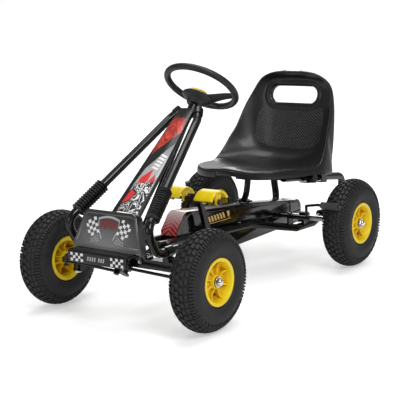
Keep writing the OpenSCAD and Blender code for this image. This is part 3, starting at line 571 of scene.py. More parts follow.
def rim_mesh():
    """A moulded rim: rolled flanges, a dished face with tapered ribs, and a hub."""
    flange = RIM_R * 1000
    lip = [(50.1, 30.5), (flange - 1.2, 30.5), (flange - 0.2, 31.2), (flange, 32.4)]
    profile = [(48.6, 30.6), (50.1, 30.2)] + lip
    profile += [(flange - 0.6, 33.6), (flange - 2, 34), (53.5, 34), (51.5, 33.6), (49.6, 32.4), (48.2, 30),
                (46.4, 13), (44.6, 10.6), (42, 9.8), (24, 12.6), (20, 13.4), (17.6, 15.4), (16.8, 24.6),
                (15.8, 26), (10.2, 26), (10.2, -30), (15.8, -30), (16.8, -28.6), (17.4, 7), (20, 5.2),
                (41, 4.8), (43.4, 3.2), (45.6, -2), (46.2, -30), (49, -33.2), (52, -34), (flange - 2, -34),
                (flange, -32.4), (flange - 0.2, -31.2), (flange - 1.2, -30.5), (50.1, -30.5), (50.1, -30)]
    parts = [turned(in_mm(profile), 96)]
    front = in_mm([(16, 22.6), (20, 21.4), (34, 18.6), (44, 21.6), (48.4, 28), (48, 9.5), (30, 9), (16, 9)])
    back = in_mm([(16, 6), (46.6, 5.4), (46.6, -18), (30, -14), (16, -22)])
    for i in range(RIBS):
        stand = Matrix.Rotation(2 * math.pi * i / RIBS, 4, "Z") @ Matrix.Rotation(math.pi / 2, 4, "X")
        parts.append(moved(slab(front, -1.9 * MM, 1.9 * MM, 0.9 * MM, 3), stand))
        parts.append(moved(slab(back, -1.6 * MM, 1.6 * MM, 0.6 * MM, 2), stand))
    return mesh_from("rim", merge(*parts))


def cut(mesh, cutters):
    """The mesh with each closed cutter part taken away."""
    base = bpy.data.objects.new("base", mesh)
    tool = bpy.data.objects.new("tool", mesh_from("tool", merge(*cutters)))
    for o in (base, tool):
        bpy.context.scene.collection.objects.link(o)
        finish_mesh(o.data)
    modifier(base, "BOOLEAN", object=tool, operation="DIFFERENCE", solver="EXACT", use_self=True)
    done = bpy.data.meshes.new_from_object(base.evaluated_get(bpy.context.evaluated_depsgraph_get()))
    for o in (base, tool):
        bpy.data.objects.remove(o)
    return done


def nut_mesh():
    """A washer under a domed nut, drawn about z with the washer's underside at 0."""
    washer = turned(in_mm([(6.1, 0), (12.6, 0), (13.0, 0.4), (13.0, 1.6), (12.6, 2.0), (6.1, 2.0)]), 64)
    dome = turned(in_mm([(0.01, 6), (8.35, 6), (8.35, 8), (7.9, 9.2), (6.4, 10.7), (4, 11.5), (1.8, 11.8),
                         (0.01, 11.8)]), 48)
    flats = slab(arc(0, 0, 9.8 * MM, 0, 300, 5), 1.9 * MM, 8.0 * MM, 0.9 * MM, 3)
    return mesh_from("nut", merge(washer, flats, dome))


def valve_mesh():
    return mesh_from("valve", turned(in_mm([(0.01, -6), (3, -6), (3, 8), (2.6, 9), (2.6, 15), (2.9, 15.4),
                                            (2.9, 17.2), (2.3, 18), (0.01, 18)]), 20))


def wheels():
    tyre = tyre_mesh()
    slot_cut = slab(in_mm([(26, -4.6), (37, -5.2), (37, 5.2), (26, 4.6)]), 2 * MM, 18 * MM)
    hole_cut = slab(arc(19.6 * MM, 0, 3.0 * MM, 0, 345, 23), 2 * MM, 20 * MM)
    between = Matrix.Rotation(math.pi / RIBS, 4, "Z")
    across = Matrix.Rotation(math.pi, 4, "Z") @ between
    rim = cut(rim_mesh(), [moved(slot_cut, between), moved(hole_cut, across)])
    nut, valve = nut_mesh(), valve_mesh()
    for mesh, angle in ((tyre, 35), (rim, 35), (nut, 30), (valve, 30)):
        finish_mesh(mesh, angle)
    for corner, degrees in (("front_left", 68), ("front_right", 20), ("rear_left", 75), ("rear_right", 110)):
        centre = middle("tyre_" + corner)
        out = 1 if centre.y > 0 else -1
        stand = Matrix.Translation(centre) @ Matrix.Rotation(-out * math.pi / 2, 4, "X")
        spun = stand @ Matrix.Rotation(math.radians(degrees), 4, "Z")
        put("tyre_knobbly_" + corner, tyre, TYRE, "tyre_" + corner, place=stand @ Matrix.Scale(0.9998, 4))
        put("rim_moulded_" + corner, rim, YELLOW, "rim_" + corner, place=spun)
        put("valve_" + corner, valve, GRIP, body=body_of("rim_" + corner),
            place=spun @ between @ Matrix.Translation((0.0315, 0, 0)))
        node = "wheel_nut_" + corner if corner.startswith("front") else "wheel_nuts_rear"
        first = corner != "rear_left"    # one node holds both rear nuts, and both turn with the axle
        put("nut_" + corner, nut, CHROME, node if first else "", body=body_of(node),
            place=stand @ Matrix.Translation((0, 0, 0.0282)))


# ---------------------------------------------------------------- seat
def seat_stations():
    """Front lip, pan and back in turn: middle (x, z), edge (x, y, z) and foot of the hem (x, y, z)."""
    w = 186
    return [((263, 299), (258, 34, 299), (257, 36, 279)),
            ((255, 303), (249, 76, 301), (247, 79, 279)),
            ((230, 302), (224, 116, 301), (221, 120, 277)),
            ((190, 297), (184, 142, 299), (182, 146, 275)),
            ((140, 290), (136, 160, 295), (134, 165, 272)),
            ((84, 283), (84, w - 14, 290), (80, w - 9, 270)),
            ((30, 278), (52, w - 9, 296), (41, w - 3, 264)),
            ((-14, 278), (24, w - 13, 320), (0, w - 6, 258)),
            ((-46, 285), (-2, w - 19, 350), (-22, w - 12, 259)),
            ((-68, 304), (-26, 158, 380), (-38, 163, 286)),
            ((-80, 340), (-48, 153, 412), (-58, 158, 340)),
            ((-92, 390), (-68, 146, 444), (-79, 150, 402)),
            ((-104, 436), (-87, 135, 474), (-98, 139, 450)),
            ((-116, 480), (-98, 120, 502), (-112, 124, 491)),
            ((-117, 507), (-98, 100, 521), (-112, 103, 515)),
            ((-109, 526), (-95, 66, 533), (-110, 68, 532)),
            ((-97, 537), (-96, 26, 537), (-110, 27, 538))]


def seat_grid(parts, across):
    """The seat's surface as rows from front to top, with columns from right to left."""
    flat = [np.array([*m, *e, *k]) for m, e, k in seat_stations()]
    rows = smooth_line(flat, parts)
    surface, hems = [], []
    for row in rows:
        mx, mz, ex, ey, ez, kx, ky, kz = row
        line = []
        for j in range(across + 1):
            v = 2 * j / across - 1
            v = math.copysign(abs(v) ** 0.82, v)
            k = abs(v) ** 3.3
            line.append(Vector((mx + k * (ex - mx), v * ey, mz + k * (ez - mz))))
        surface.append(line)
        hems.append((Vector((kx - ex, ky - ey, kz - ez)), Vector((kx - ex, ey - ky, kz - ez))))
    return surface, hems


HOLE = {"half": 56.0, "z": 470.5, "r": 24.1}        # the hand hole, a stadium seen from the front


def hole_distance(y, z):
    """Distance outside the hand hole's outline, negative inside, in millimetres."""
    along = max(abs(y) - HOLE["half"], 0.0)
    return math.hypot(along, z - HOLE["z"]) - HOLE["r"]


def hump(away, width):
    return math.exp(-(away / width) ** 2)


def seat():
    surface, hems = seat_grid(6, 84)
    rows, columns = len(surface), len(surface[0])
    # a raised welt round the hand hole, and a soft crease where the pan rolls over its front lip
    for i, line in enumerate(surface):
        for p in line:
            if p.z > 420:
                d = hole_distance(p.y, p.z)
                p.x += 5.0 * hump(d - 9.0, 7.0)
            if p.x > 60 and p.z < 320:
                thighs = hump(abs(p.y) - 72, 40.0) * hump(p.x - 195, 60.0)
                p.z += 5.0 * hump(p.y, 34.0) * hump(p.x - 225, 52.0) - 4.5 * thighs
    verts = [kart(*p) for line in surface for p in line]
    faces = [f for f in grid_faces(rows, columns)
             if hole_distance(*yz(sum((verts[k] for k in f), Vector()) / 4)) > 0]
    used = sorted({k for f in faces for k in f})
    renumber = {k: i for i, k in enumerate(used)}
    mesh = mesh_from("seat", ([verts[k] for k in used], [[renumber[k] for k in f] for f in faces]))
    work = bmesh.new()
    work.from_mesh(mesh)

    def extruded(edges):
        """The new points and the new free edges of a strip pulled out of some edges."""
        made = bmesh.ops.extrude_edge_only(work, edges=edges)["geom"]
        return ([g for g in made if isinstance(g, bmesh.types.BMVert)],
                [g for g in made if isinstance(g, bmesh.types.BMEdge) and g.is_boundary])

    def free_edges(among):
        return [e for e in work.edges if e.is_boundary and e.verts[0] in among and e.verts[1] in among]

    rim = [v for v in work.verts if v.is_boundary]
    hole = {v for v in rim if hole_distance(*yz(v.co)) < 12 and abs(v.co.y) < 0.085 and v.co.z > 0.42}
    outer = [v for v in rim if v not in hole and hole_distance(*yz(v.co)) > 12]
    for v in hole:                       # onto the stadium's outline
        y, z = yz(v.co)
        inner = max(-HOLE["half"], min(HOLE["half"], y))
        d = Vector((y - inner, z - HOLE["z"])).normalized() * HOLE["r"]
        v.co.y, v.co.z = (inner + d.x) * MM, (HOLE["z"] + d.y) * MM
    hole_edges = free_edges(hole)
    for _ in range(3):                   # the hole's flange runs back
        fresh, hole_edges = extruded(hole_edges)
        for v in fresh:
            v.co -= Vector((0.0043, 0, 0.0008))
    # the outer edge folds over and hangs as a hem
    edges = free_edges(set(outer))
    tops = [line[0] for line in surface], [line[-1] for line in surface]
    current = {}
    for v in outer:
        p = (Vector(v.co) - BASE) / MM
        side = 1 if p.y > 0 else 0
        i = min(range(rows), key=lambda k: (tops[side][k] - p).length)
        hem = Vector(hems[i][0 if side else 1])
        gap = abs(tops[side][i].y) - abs(p.y)
        if i <= 1 and gap > 2:           # along the front lip
            hem = Vector((-5, hem.y * 0.3, -15))
        if i >= rows - 2 and gap > 2:    # along the top of the back
            hem = Vector((-15, hem.y * 0.3, -1.5))
        current[v] = (Vector(v.co), hem * MM)
    for share, out in ((0.02, 2.2), (0.10, 4.2), (0.3, 5.2), (0.65, 5.4), (1.0, 5.0)):
        fresh, edges = extruded(edges)
        following = {}
        for v in fresh:
            root = next(e.other_vert(v) for e in v.link_edges if e.other_vert(v) in current)
            start, hem = following[v] = current[root]
            v.co = start + hem * share + outward(start, hem) * out * MM
        current = following
    bmesh.ops.recalc_face_normals(work, faces=work.faces)
    work.faces.ensure_lookup_table()
    pan = min(work.faces, key=lambda f: (f.calc_center_median() - kart(120, 0, 285)).length)
    if pan.normal.z < 0:                 # the sitter's side is the outside
        bmesh.ops.reverse_faces(work, faces=work.faces)
    work.to_mesh(mesh)
    work.free()
    mesh.shade_smooth()
    shell = put("seat_bucket", mesh, SEAT_PLASTIC, "seat_shell")
    modifier(shell, "SOLIDIFY", thickness=0.0034, offset=-1.0)
    modifier(shell, "SUBSURF", levels=1, render_levels=1)
    seat_lattice(surface)
    seat_bosses()


def yz(co):
    return co.y / MM, co.z / MM


def outward(start, hem):
    """The level direction away from the seat's middle line, square to the hem."""
    p = (start - BASE) / MM
    centre = Vector((90, 0, p.z)) if p.z < 330 else Vector((p.x + 60, 0, 420))
    d = p - centre
    if p.z < 330:
        d.z = 0
    else:
        d.x = 0
    d -= hem * d.dot(hem) / max(hem.length_squared, 1e-9)
    return d.normalized()


def seat_lattice(surface):
    """Fine crossing ribs moulded on the middle of the back, in a lighter copy of the seat plastic as a
    painted highlight.
    """
    grid = np.array([[tuple(p) for p in line] for line in surface])
    z_mid = grid[:, grid.shape[1] // 2, 2]
    first = int(np.argmax((grid[:, grid.shape[1] // 2, 0] < -70) & (z_mid > 300)))

    def on_surface(y, z):
        """Point of the surface at y and a height z measured on its middle line."""
        i = first + np.searchsorted(z_mid[first:], z) - 1
        i = max(first, min(len(z_mid) - 2, i))
        t = (z - z_mid[i]) / (z_mid[i + 1] - z_mid[i])
        line = grid[i] * (1 - t) + grid[i + 1] * t
        return Vector((np.interp(y, line[:, 1], line[:, 0]), y, np.interp(y, line[:, 1], line[:, 2])))

    parts = []
    low, high, half, pitch = 312.0, 424.0, 116.0, 9.0
    for lean in (-1, 1):
        for k in range(-14, 40):
            line = []
            for n in range(64):
                z = low + (high - low) * n / 63
                y = lean * (k * pitch - 150 + z - low)
                edge = half - 18.0 * max(0.0, (z - 380) / 44.0) ** 2
                if abs(y) <= edge:
                    line.append(on_surface(y, z))
            if len(line) > 3:
                parts.append(strip(line, 1.1, 1.25))
    piece("seat_lattice", merge(*parts), SEAT_RIBS_HIGHLIGHT, body=body_of("seat_shell"), angle=80)


def strip(line, half_width, height):
    """A low roof-shaped rib along a line on the seat's back."""
    verts, n = [], len(line)
    for i, p in enumerate(line):
        along = (line[min(i + 1, n - 1)] - line[max(i - 1, 0)]).normalized()
        normal = Vector((1, 0, 0.22)).normalized()
        across = along.cross(normal).normalized() * half_width
        lift = height * min(1.0, 0.35 * min(i, n - 1 - i))
        verts += [kart(*(p + q)) for q in (across - normal * 0.6, normal * lift, -across - normal * 0.6)]
    faces = grid_faces(n, 3, False, True) + [(2, 1, 0), (3 * n - 3, 3 * n - 2, 3 * n - 1)]
    return verts, faces


def seat_bosses():
    """Moulded feet between the pan and the carrier's straps."""
    parts = []
    for x, top in ((-30, 279.5), (50, 276.5)):
        for y in (-80, 80):
            foot = 247 + 0.15 * x + 14.6
            path = [kart(x - 2, y, foot), kart(x - 2.5, y, (foot + top) / 2), kart(x - 3, y, top)]
            parts.append(sweep(path, 0.0092, 28))
    piece("seat_feet", merge(*parts), SEAT_PLASTIC, body=body_of("seat_shell"), angle=40)


# ---------------------------------------------------------------- tubes
def strut_points(s):
    return [kart(x, s * y, z) for x, y, z in ((412, 30, 486), (438, 45, 466), (765, 129, 248),
                                              (728, 126, 184), (640, 124, 180), (575, 44, 163))]


def tubes():
    for s, side in ((1, "left"), (-1, "right")):
        bar = sweep(bend_path(strut_points(s), 0.040, 12), 0.011, 32, wall=0.0015)
        piece("strut_tube_" + side, bar, BLACK_PAINT, "strut_" + side, angle=60)
    rails = []
    for s in (1, -1):
        path = [kart(x, s * y, z) for x, y, z in ((160, 125, 271), (-170, 125, 221.5), (-170, 112, 122),
                                                  (-97, 98, 117.4))]
        rails.append(sweep(bend_path(path, 0.036, 12), 0.011, 32, wall=0.0015))
    rails.append(sweep([kart(150, -125, 269.5), kart(150, 125, 269.5)], 0.008, 24))
    post = [kart(150, 0, 269.5), kart(155, 0, 240), kart(163, 0, 216), kart(174, 0, 201)]
    rails.append(sweep(smooth_line(post, 6), 0.009, 28))
    foot = rounded_outline([(162, -22), (186, -22), (186, 22), (162, 22)], 4)
    rails.append(laid(slab(foot, 196.2, 200.2, 0.8), kart))
    piece("seat_rails", merge(*rails), BLACK_PAINT, "seat_frame", angle=50)


BOOT_FOLDS = 13


def boots():
    for s, side in ((1, "left"), (-1, "right")):
        top, end = strut_points(s)[1:3]
        start, stop = top.lerp(end, 0.655), top.lerp(end, 0.9)
        length = (stop - start).length
        pitch = length / BOOT_FOLDS
        profile = [(0.0112, 0.0)]
        for i in range(BOOT_FOLDS):
            at = i * pitch
            swell = 0.0002 * math.sin(i * 2.1)
            profile += [(r + swell, at + pitch * t) for r, t in
                        ((0.0128, 0.04), (0.0134, 0.18), (0.0172, 0.30), (0.0187, 0.42), (0.0188, 0.56),
                         (0.0174, 0.70), (0.0134, 0.84))]
        profile += [(0.0128, length - 0.0002), (0.0112, length)]
        lay = Matrix.Translation(start) @ (stop - start).to_track_quat("Z", "Y").to_matrix().to_4x4()
        piece("boot_bellows_" + side, moved(turned(profile, 56), lay), BOOT, "boot_" + side, angle=80)


# ---------------------------------------------------------------- printed patterns
def inside(s, u, v, corners):
    """1 inside a convex shape whose corners run anticlockwise in (u, v), else 0."""
    mask = None
    for (u0, v0), (u1, v1) in zip(corners, corners[1:] + corners[:1]):
        du, dv = u1 - u0, v1 - v0
        side = s.minus(s.times(v, du), s.times(u, dv))
        hit = s.math("GREATER_THAN", side, v0 * du - u0 * dv)
        mask = hit if mask is None else s.times(mask, hit)
    return mask


def fairing_print():
    """Sticker of the steering panel. u runs down the panel, v from the kart's right (-1) to its left (1)."""
    s = Shader("fairing_print")
    u, v = s.uv()
    wobble = s.times(s.minus(s.noise(60.0, 3.0), 0.5), 0.02)
    base = (0.006, 0.006, 0.0065)
    # feathered red field at the top: brush strokes run down and across
    stroke_at = s.join(s.times(u, 9.0),
                       s.plus(s.times(v, 1.6), s.times(u, -7.0)))
    stroke = s.noise(1.6, 6.0, 0.7, vector=stroke_at, distortion=1.2)
    field = inside(s, u, s.plus(v, wobble), [(0.07, -0.78), (0.50, -0.86), (0.235, 0.92), (0.10, 0.86)])
    red = s.mix(s.ramp(stroke, 0.38, 0.58), (0.045, 0.008, 0.007), (0.70, 0.050, 0.028))
    red = s.mix(s.ramp(stroke, 0.60, 0.74), red, (0.88, 0.15, 0.07))
    fade = s.times(s.ramp(u, 0.07, 0.15), s.ramp(u, 0.50, 0.40))
    colour = s.mix(s.times(field, fade), base, red)
    # grey wedge below it, lighter towards its middle
    wedge = inside(s, u, v, [(0.335, 0.93), (0.60, -0.30), (0.76, -0.48), (0.80, 0.20), (0.66, 0.93)])
    grey = s.mix(s.ramp(u, 0.35, 0.60), (0.20, 0.20, 0.205), (0.42, 0.42, 0.43))
    colour = s.mix(wedge, colour, grey)
    for k in range(5):                   # slanted plain bars
        at = 0.455 + 0.030 * k
        lean = 0.74 - 1.45 * (at - 0.455)
        bar = inside(s, u, v, [(at, lean - 0.36), (at + 0.016, lean - 0.44), (at + 0.028, lean + 0.05),
                               (at + 0.012, lean + 0.13)])
        colour = s.mix(bar, colour, (0.82, 0.82, 0.83))
    pale = (0.84, 0.84, 0.84)
    # angular red shapes with a pale edge
    bright, deep = (0.72, 0.035, 0.03), (0.60, 0.03, 0.03)
    for points, tone in (([(0.600, 0.40), (0.685, -0.22), (0.765, -0.22), (0.715, 0.44)], bright),
                         ([(0.625, 0.62), (0.725, 0.46), (0.765, 0.36), (0.690, 0.84)], deep),
                         ([(0.80, -0.34), (0.93, -0.56), (0.90, -0.10), (0.83, 0.12)], bright)):
        colour = s.mix(inside(s, u, v, points), colour, tone)
    # loose contour lines at the foot
    foot = s.times(inside(s, u, v, [(0.745, -0.40), (1.02, -0.50), (1.02, 0.86), (0.715, 0.86)]),
                  s.minus(1.0, inside(s, u, v, [(0.79, -0.36), (0.94, -0.58), (0.91, -0.04), (0.82, 0.18)])))
    curls_at = s.join(s.times(u, 5.2), s.times(v, 1.25))
    curls = s.noise(1.5, 1.0, 0.4, vector=curls_at, distortion=1.6)
    line = s.math("FRACT", s.times(curls, 7.0))
    line = s.math("LESS_THAN", s.size(s.minus(line, 0.5)), 0.17)
    colour = s.mix(foot, colour, (0.014, 0.014, 0.015))
    colour = s.mix(s.times(foot, line), colour, pale)
    # a dashed edge line down the left side
    edge = inside(s, u, v, [(0.46, 0.84), (0.80, 0.84), (0.80, 0.90), (0.46, 0.90)])
    dash = s.math("GREATER_THAN", s.math("FRACT", s.times(u, 70.0)), 0.42)
    colour = s.mix(s.times(edge, dash), colour, pale)
    cloud = s.noise(30.0, 4.0)
    s.set(Base_Color=colour, Roughness=s.ramp(cloud, 0.3, 0.7, 0.26, 0.40), Coat_Weight=0.35,
          Coat_Roughness=0.15, Normal=s.bump(s.noise(700.0, 2.0), 0.06, 0.0004))
    return s.mat


FAIRING = {"top": (424, 0, 494), "lean": math.radians(39.0), "long": 352, "half_top": 25, "half_foot": 47,
           "reach": 696.5}


def fairing():
    """The crowned panel over the steering column, with folded sides and a printed face."""
    lean = FAIRING["lean"]
    down, out = Vector((math.cos(lean), 0, -math.sin(lean))), Vector((math.sin(lean), 0, math.cos(lean)))
    rows, verts, uvs = 61, [], []
    profile = [(-1.0, -8.0), (-1.0, -5.0), (-0.995, -2.6), (-0.975, -1.0), (-0.94, -0.25), (-0.86, 0.0),
               (-0.70, 0.0), (-0.50, 0.0), (-0.43, 0.12), (-0.38, 0.35), (-0.2, 0.5), (0.0, 0.55)]
    profile += [(-a, b) for a, b in profile[-2::-1]]

    def crown(y):
        """Height of the panel at y: a flat middle and two swept sides, eased at the creases."""
        slope, crease = 0.35, 18.0
        d = abs(y) - crease
        return -slope * (d + math.sqrt(d * d + 6.0)) / 2

    def row(k, thick):
        t = k / (rows - 1)
        half = FAIRING["half_top"] + (FAIRING["half_foot"] - FAIRING["half_top"]) * t
        line = []
        for a, b in profile:
            y = a * (half - (0.4 if not thick else 2.4))
            z = crown(y) + b - (2.2 if thick and abs(a) <= 0.97 else 0)
            p = Vector(FAIRING["top"]) + down * FAIRING["long"] * t + out * (z - 0.6)
            if p.x > FAIRING["reach"]:   # the foot is cut off upright
                p -= down * ((p.x - FAIRING["reach"]) / down.x)
            line.append(kart(p.x, y, p.z))
        return line, [(t, a) for a, _ in profile]

    n = len(profile)
    for thick in (False, True):
        for k in range(rows):
            line, marks = row(k, thick)
            verts += line
            uvs += marks
    faces = grid_faces(rows, n)
    under = rows * n
    faces += [tuple(under + k for k in f[::-1]) for f in grid_faces(rows, n)]
    for k in range(rows - 1):            # close the two long edges
        for j, flip in ((0, 1), (n - 1, -1)):
            a, b = k * n + j, (k + 1) * n + j
            faces.append((a, b, b + under, a + under)[::flip])
    for j in range(n - 1):               # close the top and the foot
        for k, flip in ((0, -1), (rows - 1, 1)):
            a, b = k * n + j, k * n + j + 1
            faces.append((a, b, b + under, a + under)[::flip])
    piece("steering_panel", (verts, faces), fairing_print(), "fairing", angle=35, uvs=uvs)


# ---------------------------------------------------------------- number plate and bumper
PLATE = Matrix.Translation(kart(771, 0, 190.2)) @ Matrix.Rotation(math.radians(-16), 4, "Y")


def on_plate(y, h, out=0.0):
    """A point of the number plate: y to the left, h up its face and out from it, in millimetres."""
    return PLATE @ (Vector((out, y, h)) * MM)


def plate_outline():
    low, top, h, r = 111, 86, 96, 20
    left = arc(top - r, h - r, r, 15, 90, 8)
    return [(-low, 0), (low, 0)] + left + [(-y, z) for y, z in reversed(left)]


def plate_surface():
    s = Shader("plate_smoke_painted_light")
    x, y, z = s.split(s.point())
    cloud = s.noise(16.0, 3.0)
    # painted light: the plate is lighter at its lower middle and darker towards its top and sides; the cloud
    # noise is its own smoky tint
    height = s.ramp(z, 0.20, 0.27)
    across = s.ramp(s.size(y), 0.02, 0.10)
    glow = s.times(s.minus(1.0, height),
                  s.minus(1.0, s.times(across, 0.7)))
    smoke_and_painted_light = s.plus(glow, s.times(s.minus(cloud, 0.5), 0.3))
    colour = s.mix(smoke_and_painted_light, (0.022, 0.022, 0.023), (0.23, 0.23, 0.235))
    s.set(Base_Color=colour, Roughness=s.ramp(cloud, 0.3, 0.7, 0.16, 0.26), Coat_Weight=0.8,
          Coat_Roughness=0.05, Normal=s.bump(s.noise(500.0, 2.0), 0.04, 0.0003, s.soft_edges(0.0006)))
    return s.mat


def number_plate():
    outline = plate_outline()
    front = [(0, -25), (0, -4), (0.5, -2), (1.8, -0.6), (3.6, 0), (7, 0), (8.2, -0.4), (9, -1.4),
             (10.2, -1.8)]
    back = [(11, -4.2), (4, -4.2), (3, -6), (2.6, -25)]
    rings = front + back
    verts = [on_plate(p.x, p.y, out) for d, out in rings for p in inset(outline, d)]
    n, last, first = len(outline), len(front) - 1, len(front)
    faces = [f for f in grid_faces(len(rings), n, True, True)
             if not (min(f) // n == last and max(f) // n == first)]
    faces += [tuple(range(last * n, last * n + n)), tuple(range(first * n, first * n + n))[::-1]]
    piece("plate_tray", (verts, faces), plate_surface(), "number_plate", angle=50)
    ledge = rounded_outline([(-103, 6.5), (103, 6.5), (100, 15.5), (-100, 15.5)], 3)
    body = body_of("number_plate")
    piece("plate_ledge", laid(slab(ledge, -2.0, 1.6, 1.2), on_plate), plate_surface(), body=body)
    flags()


def flat_shapes(name, shapes, place, material, body, thick=0.25):
    """Thin printed shapes: each is a list of corners laid on a face by place(y, h, out)."""
    verts, faces = [], []
    for shape in shapes:
        n, base = len(shape), len(verts)
        for out in (0.05, 0.05 + thick):
            verts += [place(y, h, out) for y, h in shape]
        faces += [tuple(base + k for k in reversed(range(n))), tuple(base + n + k for k in range(n))]
        faces += [(base + k, base + (k + 1) % n, base + n + (k + 1) % n, base + n + k) for k in range(n)]
    piece(name, (verts, faces), material, body=body, angle=None)


def ink(name, colour, roughness=0.35):
    s = Shader(name)
    worn = s.noise(220.0, 5.0, 0.7)
    s.set(Base_Color=s.mix(s.ramp(worn, 0.60, 0.72, 0.0, 0.35), colour, scaled(colour, 0.55)),
          Roughness=s.ramp(worn, 0.3, 0.7, roughness - 0.05, roughness + 0.1), Coat_Weight=0.3,
          Normal=s.bump(worn, 0.05, 0.0002))
    return s.mat


WHITE_INK = ink("white_ink", (0.80, 0.80, 0.80))
GREY_INK = ink("grey_ink", (0.42, 0.42, 0.42))
RED_INK = ink("red_ink", (0.22, 0.020, 0.022))
GOLD_INK = ink("gold_ink", (0.62, 0.40, 0.12))


def flags():
    """Two waving chequered flags on poles, hatching under them and a plain arch between them."""
    def face(y, h, out):
        return on_plate(y, h, out - 1.8)

    checks, hatching = [], []
    for side in (-1, 1):
        def at(a, b):
            """a runs from the pole outwards and b up along the pole."""
            wave = 2.6 * math.sin(a * 0.16 + 0.6)
            return side * (26 + 0.92 * a + 0.4 * b), 40 + 0.92 * b - 0.30 * a + wave

        for i in range(4):
            for j in range(i % 2, 5, 2):
                a, b = i * 9.0, j * 8.2
                c, d = a + 8.64, b + 7.872
                checks.append([at(a, b), at(c, b), at(c, d), at(a, d)][::side])
        checks.append([at(-1.6, -16), at(0.2, -16), at(0.4, 2), at(-1.4, 2)][::side])
        for k in range(14):
            i, j = k % 5, k // 5
            a, b = 8 + i * 5.4 + 1.5 * (j % 2), -9 - j * 6.2
            w = 3.4 if (i * 7 + j * 3) % 4 else 2.2
            hatching.append([at(a, b), at(a + w, b + 1.2), at(a + w - 1.2, b + 4.4),
                             at(a - 1.0, b + 3.6)][::side])
    body = body_of("number_plate")
    flat_shapes("plate_flags", checks, face, WHITE_INK, body)
    flat_shapes("plate_hatching", hatching, face, GREY_INK, body)
    band = arc(0, 0, 84, 66, 114, 14) + arc(0, 0, 78.5, 114, 66, 14)
    leg = [(31.5, 72), (34.0, 76.2), (32.5, 58), (30.0, 58)]
    legs = [leg, [(-y, h) for y, h in reversed(leg)]]
    flat_shapes("plate_arch", [band] + legs, face, GREY_INK, body)
    blocks = [[(y - 4, low), (y + 4, low), (y + 3.2, 75 - abs(y) * 0.16), (y - 3.2, 75 - abs(y) * 0.16)]
              for y, low in ((-22, 56), (-11, 52), (0, 54), (11, 52), (22, 56))]
    flat_shapes("plate_blocks", blocks, face, RED_INK, body)


def bumper():
    section = rounded_outline([(804, 160), (804, 187.2), (799, 191), (736, 190), (736, 185), (794, 185),
                               (796.6, 161.2)], [2.0, 2.6, 2.0, 1.5, 1.5, 2.0, 1.5], 5)
    half = 93.5
    rings = [(-half, 0.8), (-half + 0.6, 0.25), (-half + 2.0, 0.0)]
    rings += [(-y, d) for y, d in reversed(rings)]
    if clockwise(section):
        section = section[::-1]
    n = len(section)
    verts = [kart(p.x, y, p.y) for y, d in rings for p in inset(section, d)]
    faces = grid_faces(len(rings), n, False, True)
    faces += [tuple(range(n)), tuple(range((len(rings) - 1) * n, len(rings) * n))]
    piece("bumper_strip", (verts, faces), BLACK_PAINT, "bumper", angle=50)

    def face(y, h, out):
        return kart(804 + out, y, 160 + h)

    checks = []
    for side in (-1, 1):
        for i in range(5):
            for j in range(i % 2, 3, 2):
                y, h = side * 64 - 20 + i * 8.2, 3.4 + j * 7.2
                ragged = 0.9 * math.sin(i * 2.3 + j)
                checks.append([(y + ragged, h), (y + 7.9, h + 0.5), (y + 7.6 - ragged, h + 7.0),
                               (y + 0.3, h + 6.8)])
    flat_shapes("bumper_checks", checks, face, WHITE_INK, body_of("bumper"))
    bars = [[(y, 9), (y + 3.8, 9), (y + 6.2, 19), (y + 2.4, 19)]
            for y in (-30, -22.6, -15.2, -7.8, 5, 12.4, 19.8)]
    flat_shapes("bumper_bars", bars, face, GREY_INK, body_of("bumper"))


# ---------------------------------------------------------------- chain case
def case_print():
    """Gloss black with red and pink chevrons on the front, fading to pale along the top."""
    s = Shader("case_gloss")
    x, y, z = s.split(s.point())
    nx, ny, nz = s.split(s.node("ShaderNodeNewGeometry").outputs["Normal"])
    front = middle("crank_axle").x + 0.098
    along = s.minus(s.minus(z, 0.150), s.minus(x, front))     # up and then back
    chevron = s.plus(along, s.times(s.size(y), 0.9))
    stripe = s.math("GREATER_THAN", s.math("FRACT", s.times(chevron, 62.0)), 0.45)
    print_ = s.mix(stripe, (0.24, 0.016, 0.022), (0.72, 0.10, 0.10))
    cloud = s.noise(55.0, 5.0)
    ragged = s.plus(along, s.times(s.minus(cloud, 0.5), 0.03))
    print_ = s.mix(s.ramp(ragged, 0.045, 0.115), print_, (0.66, 0.52, 0.52))
    print_ = s.mix(s.ramp(along, 0.14, 0.32), print_, (0.014, 0.014, 0.015))
    rim = s.math("LESS_THAN", s.size(ny), 0.62)
    upper = s.math("GREATER_THAN", s.plus(nx, s.times(nz, 2.0)), 0.05)
    show = s.times(s.times(rim, upper), s.math("LESS_THAN", along, 0.33))
    base = s.mix(s.ramp(cloud, 0.35, 0.7), (0.0025, 0.0025, 0.003), (0.005, 0.005, 0.0055))
    s.set(Base_Color=s.mix(show, base, print_), Roughness=s.ramp(s.noise(25.0, 3.0), 0.3, 0.7, 0.10, 0.20),
          Coat_Weight=0.5, Coat_Roughness=0.06, Normal=s.bump(s.noise(300.0, 2.0), 0.03, 0.0004))
    return s.mat


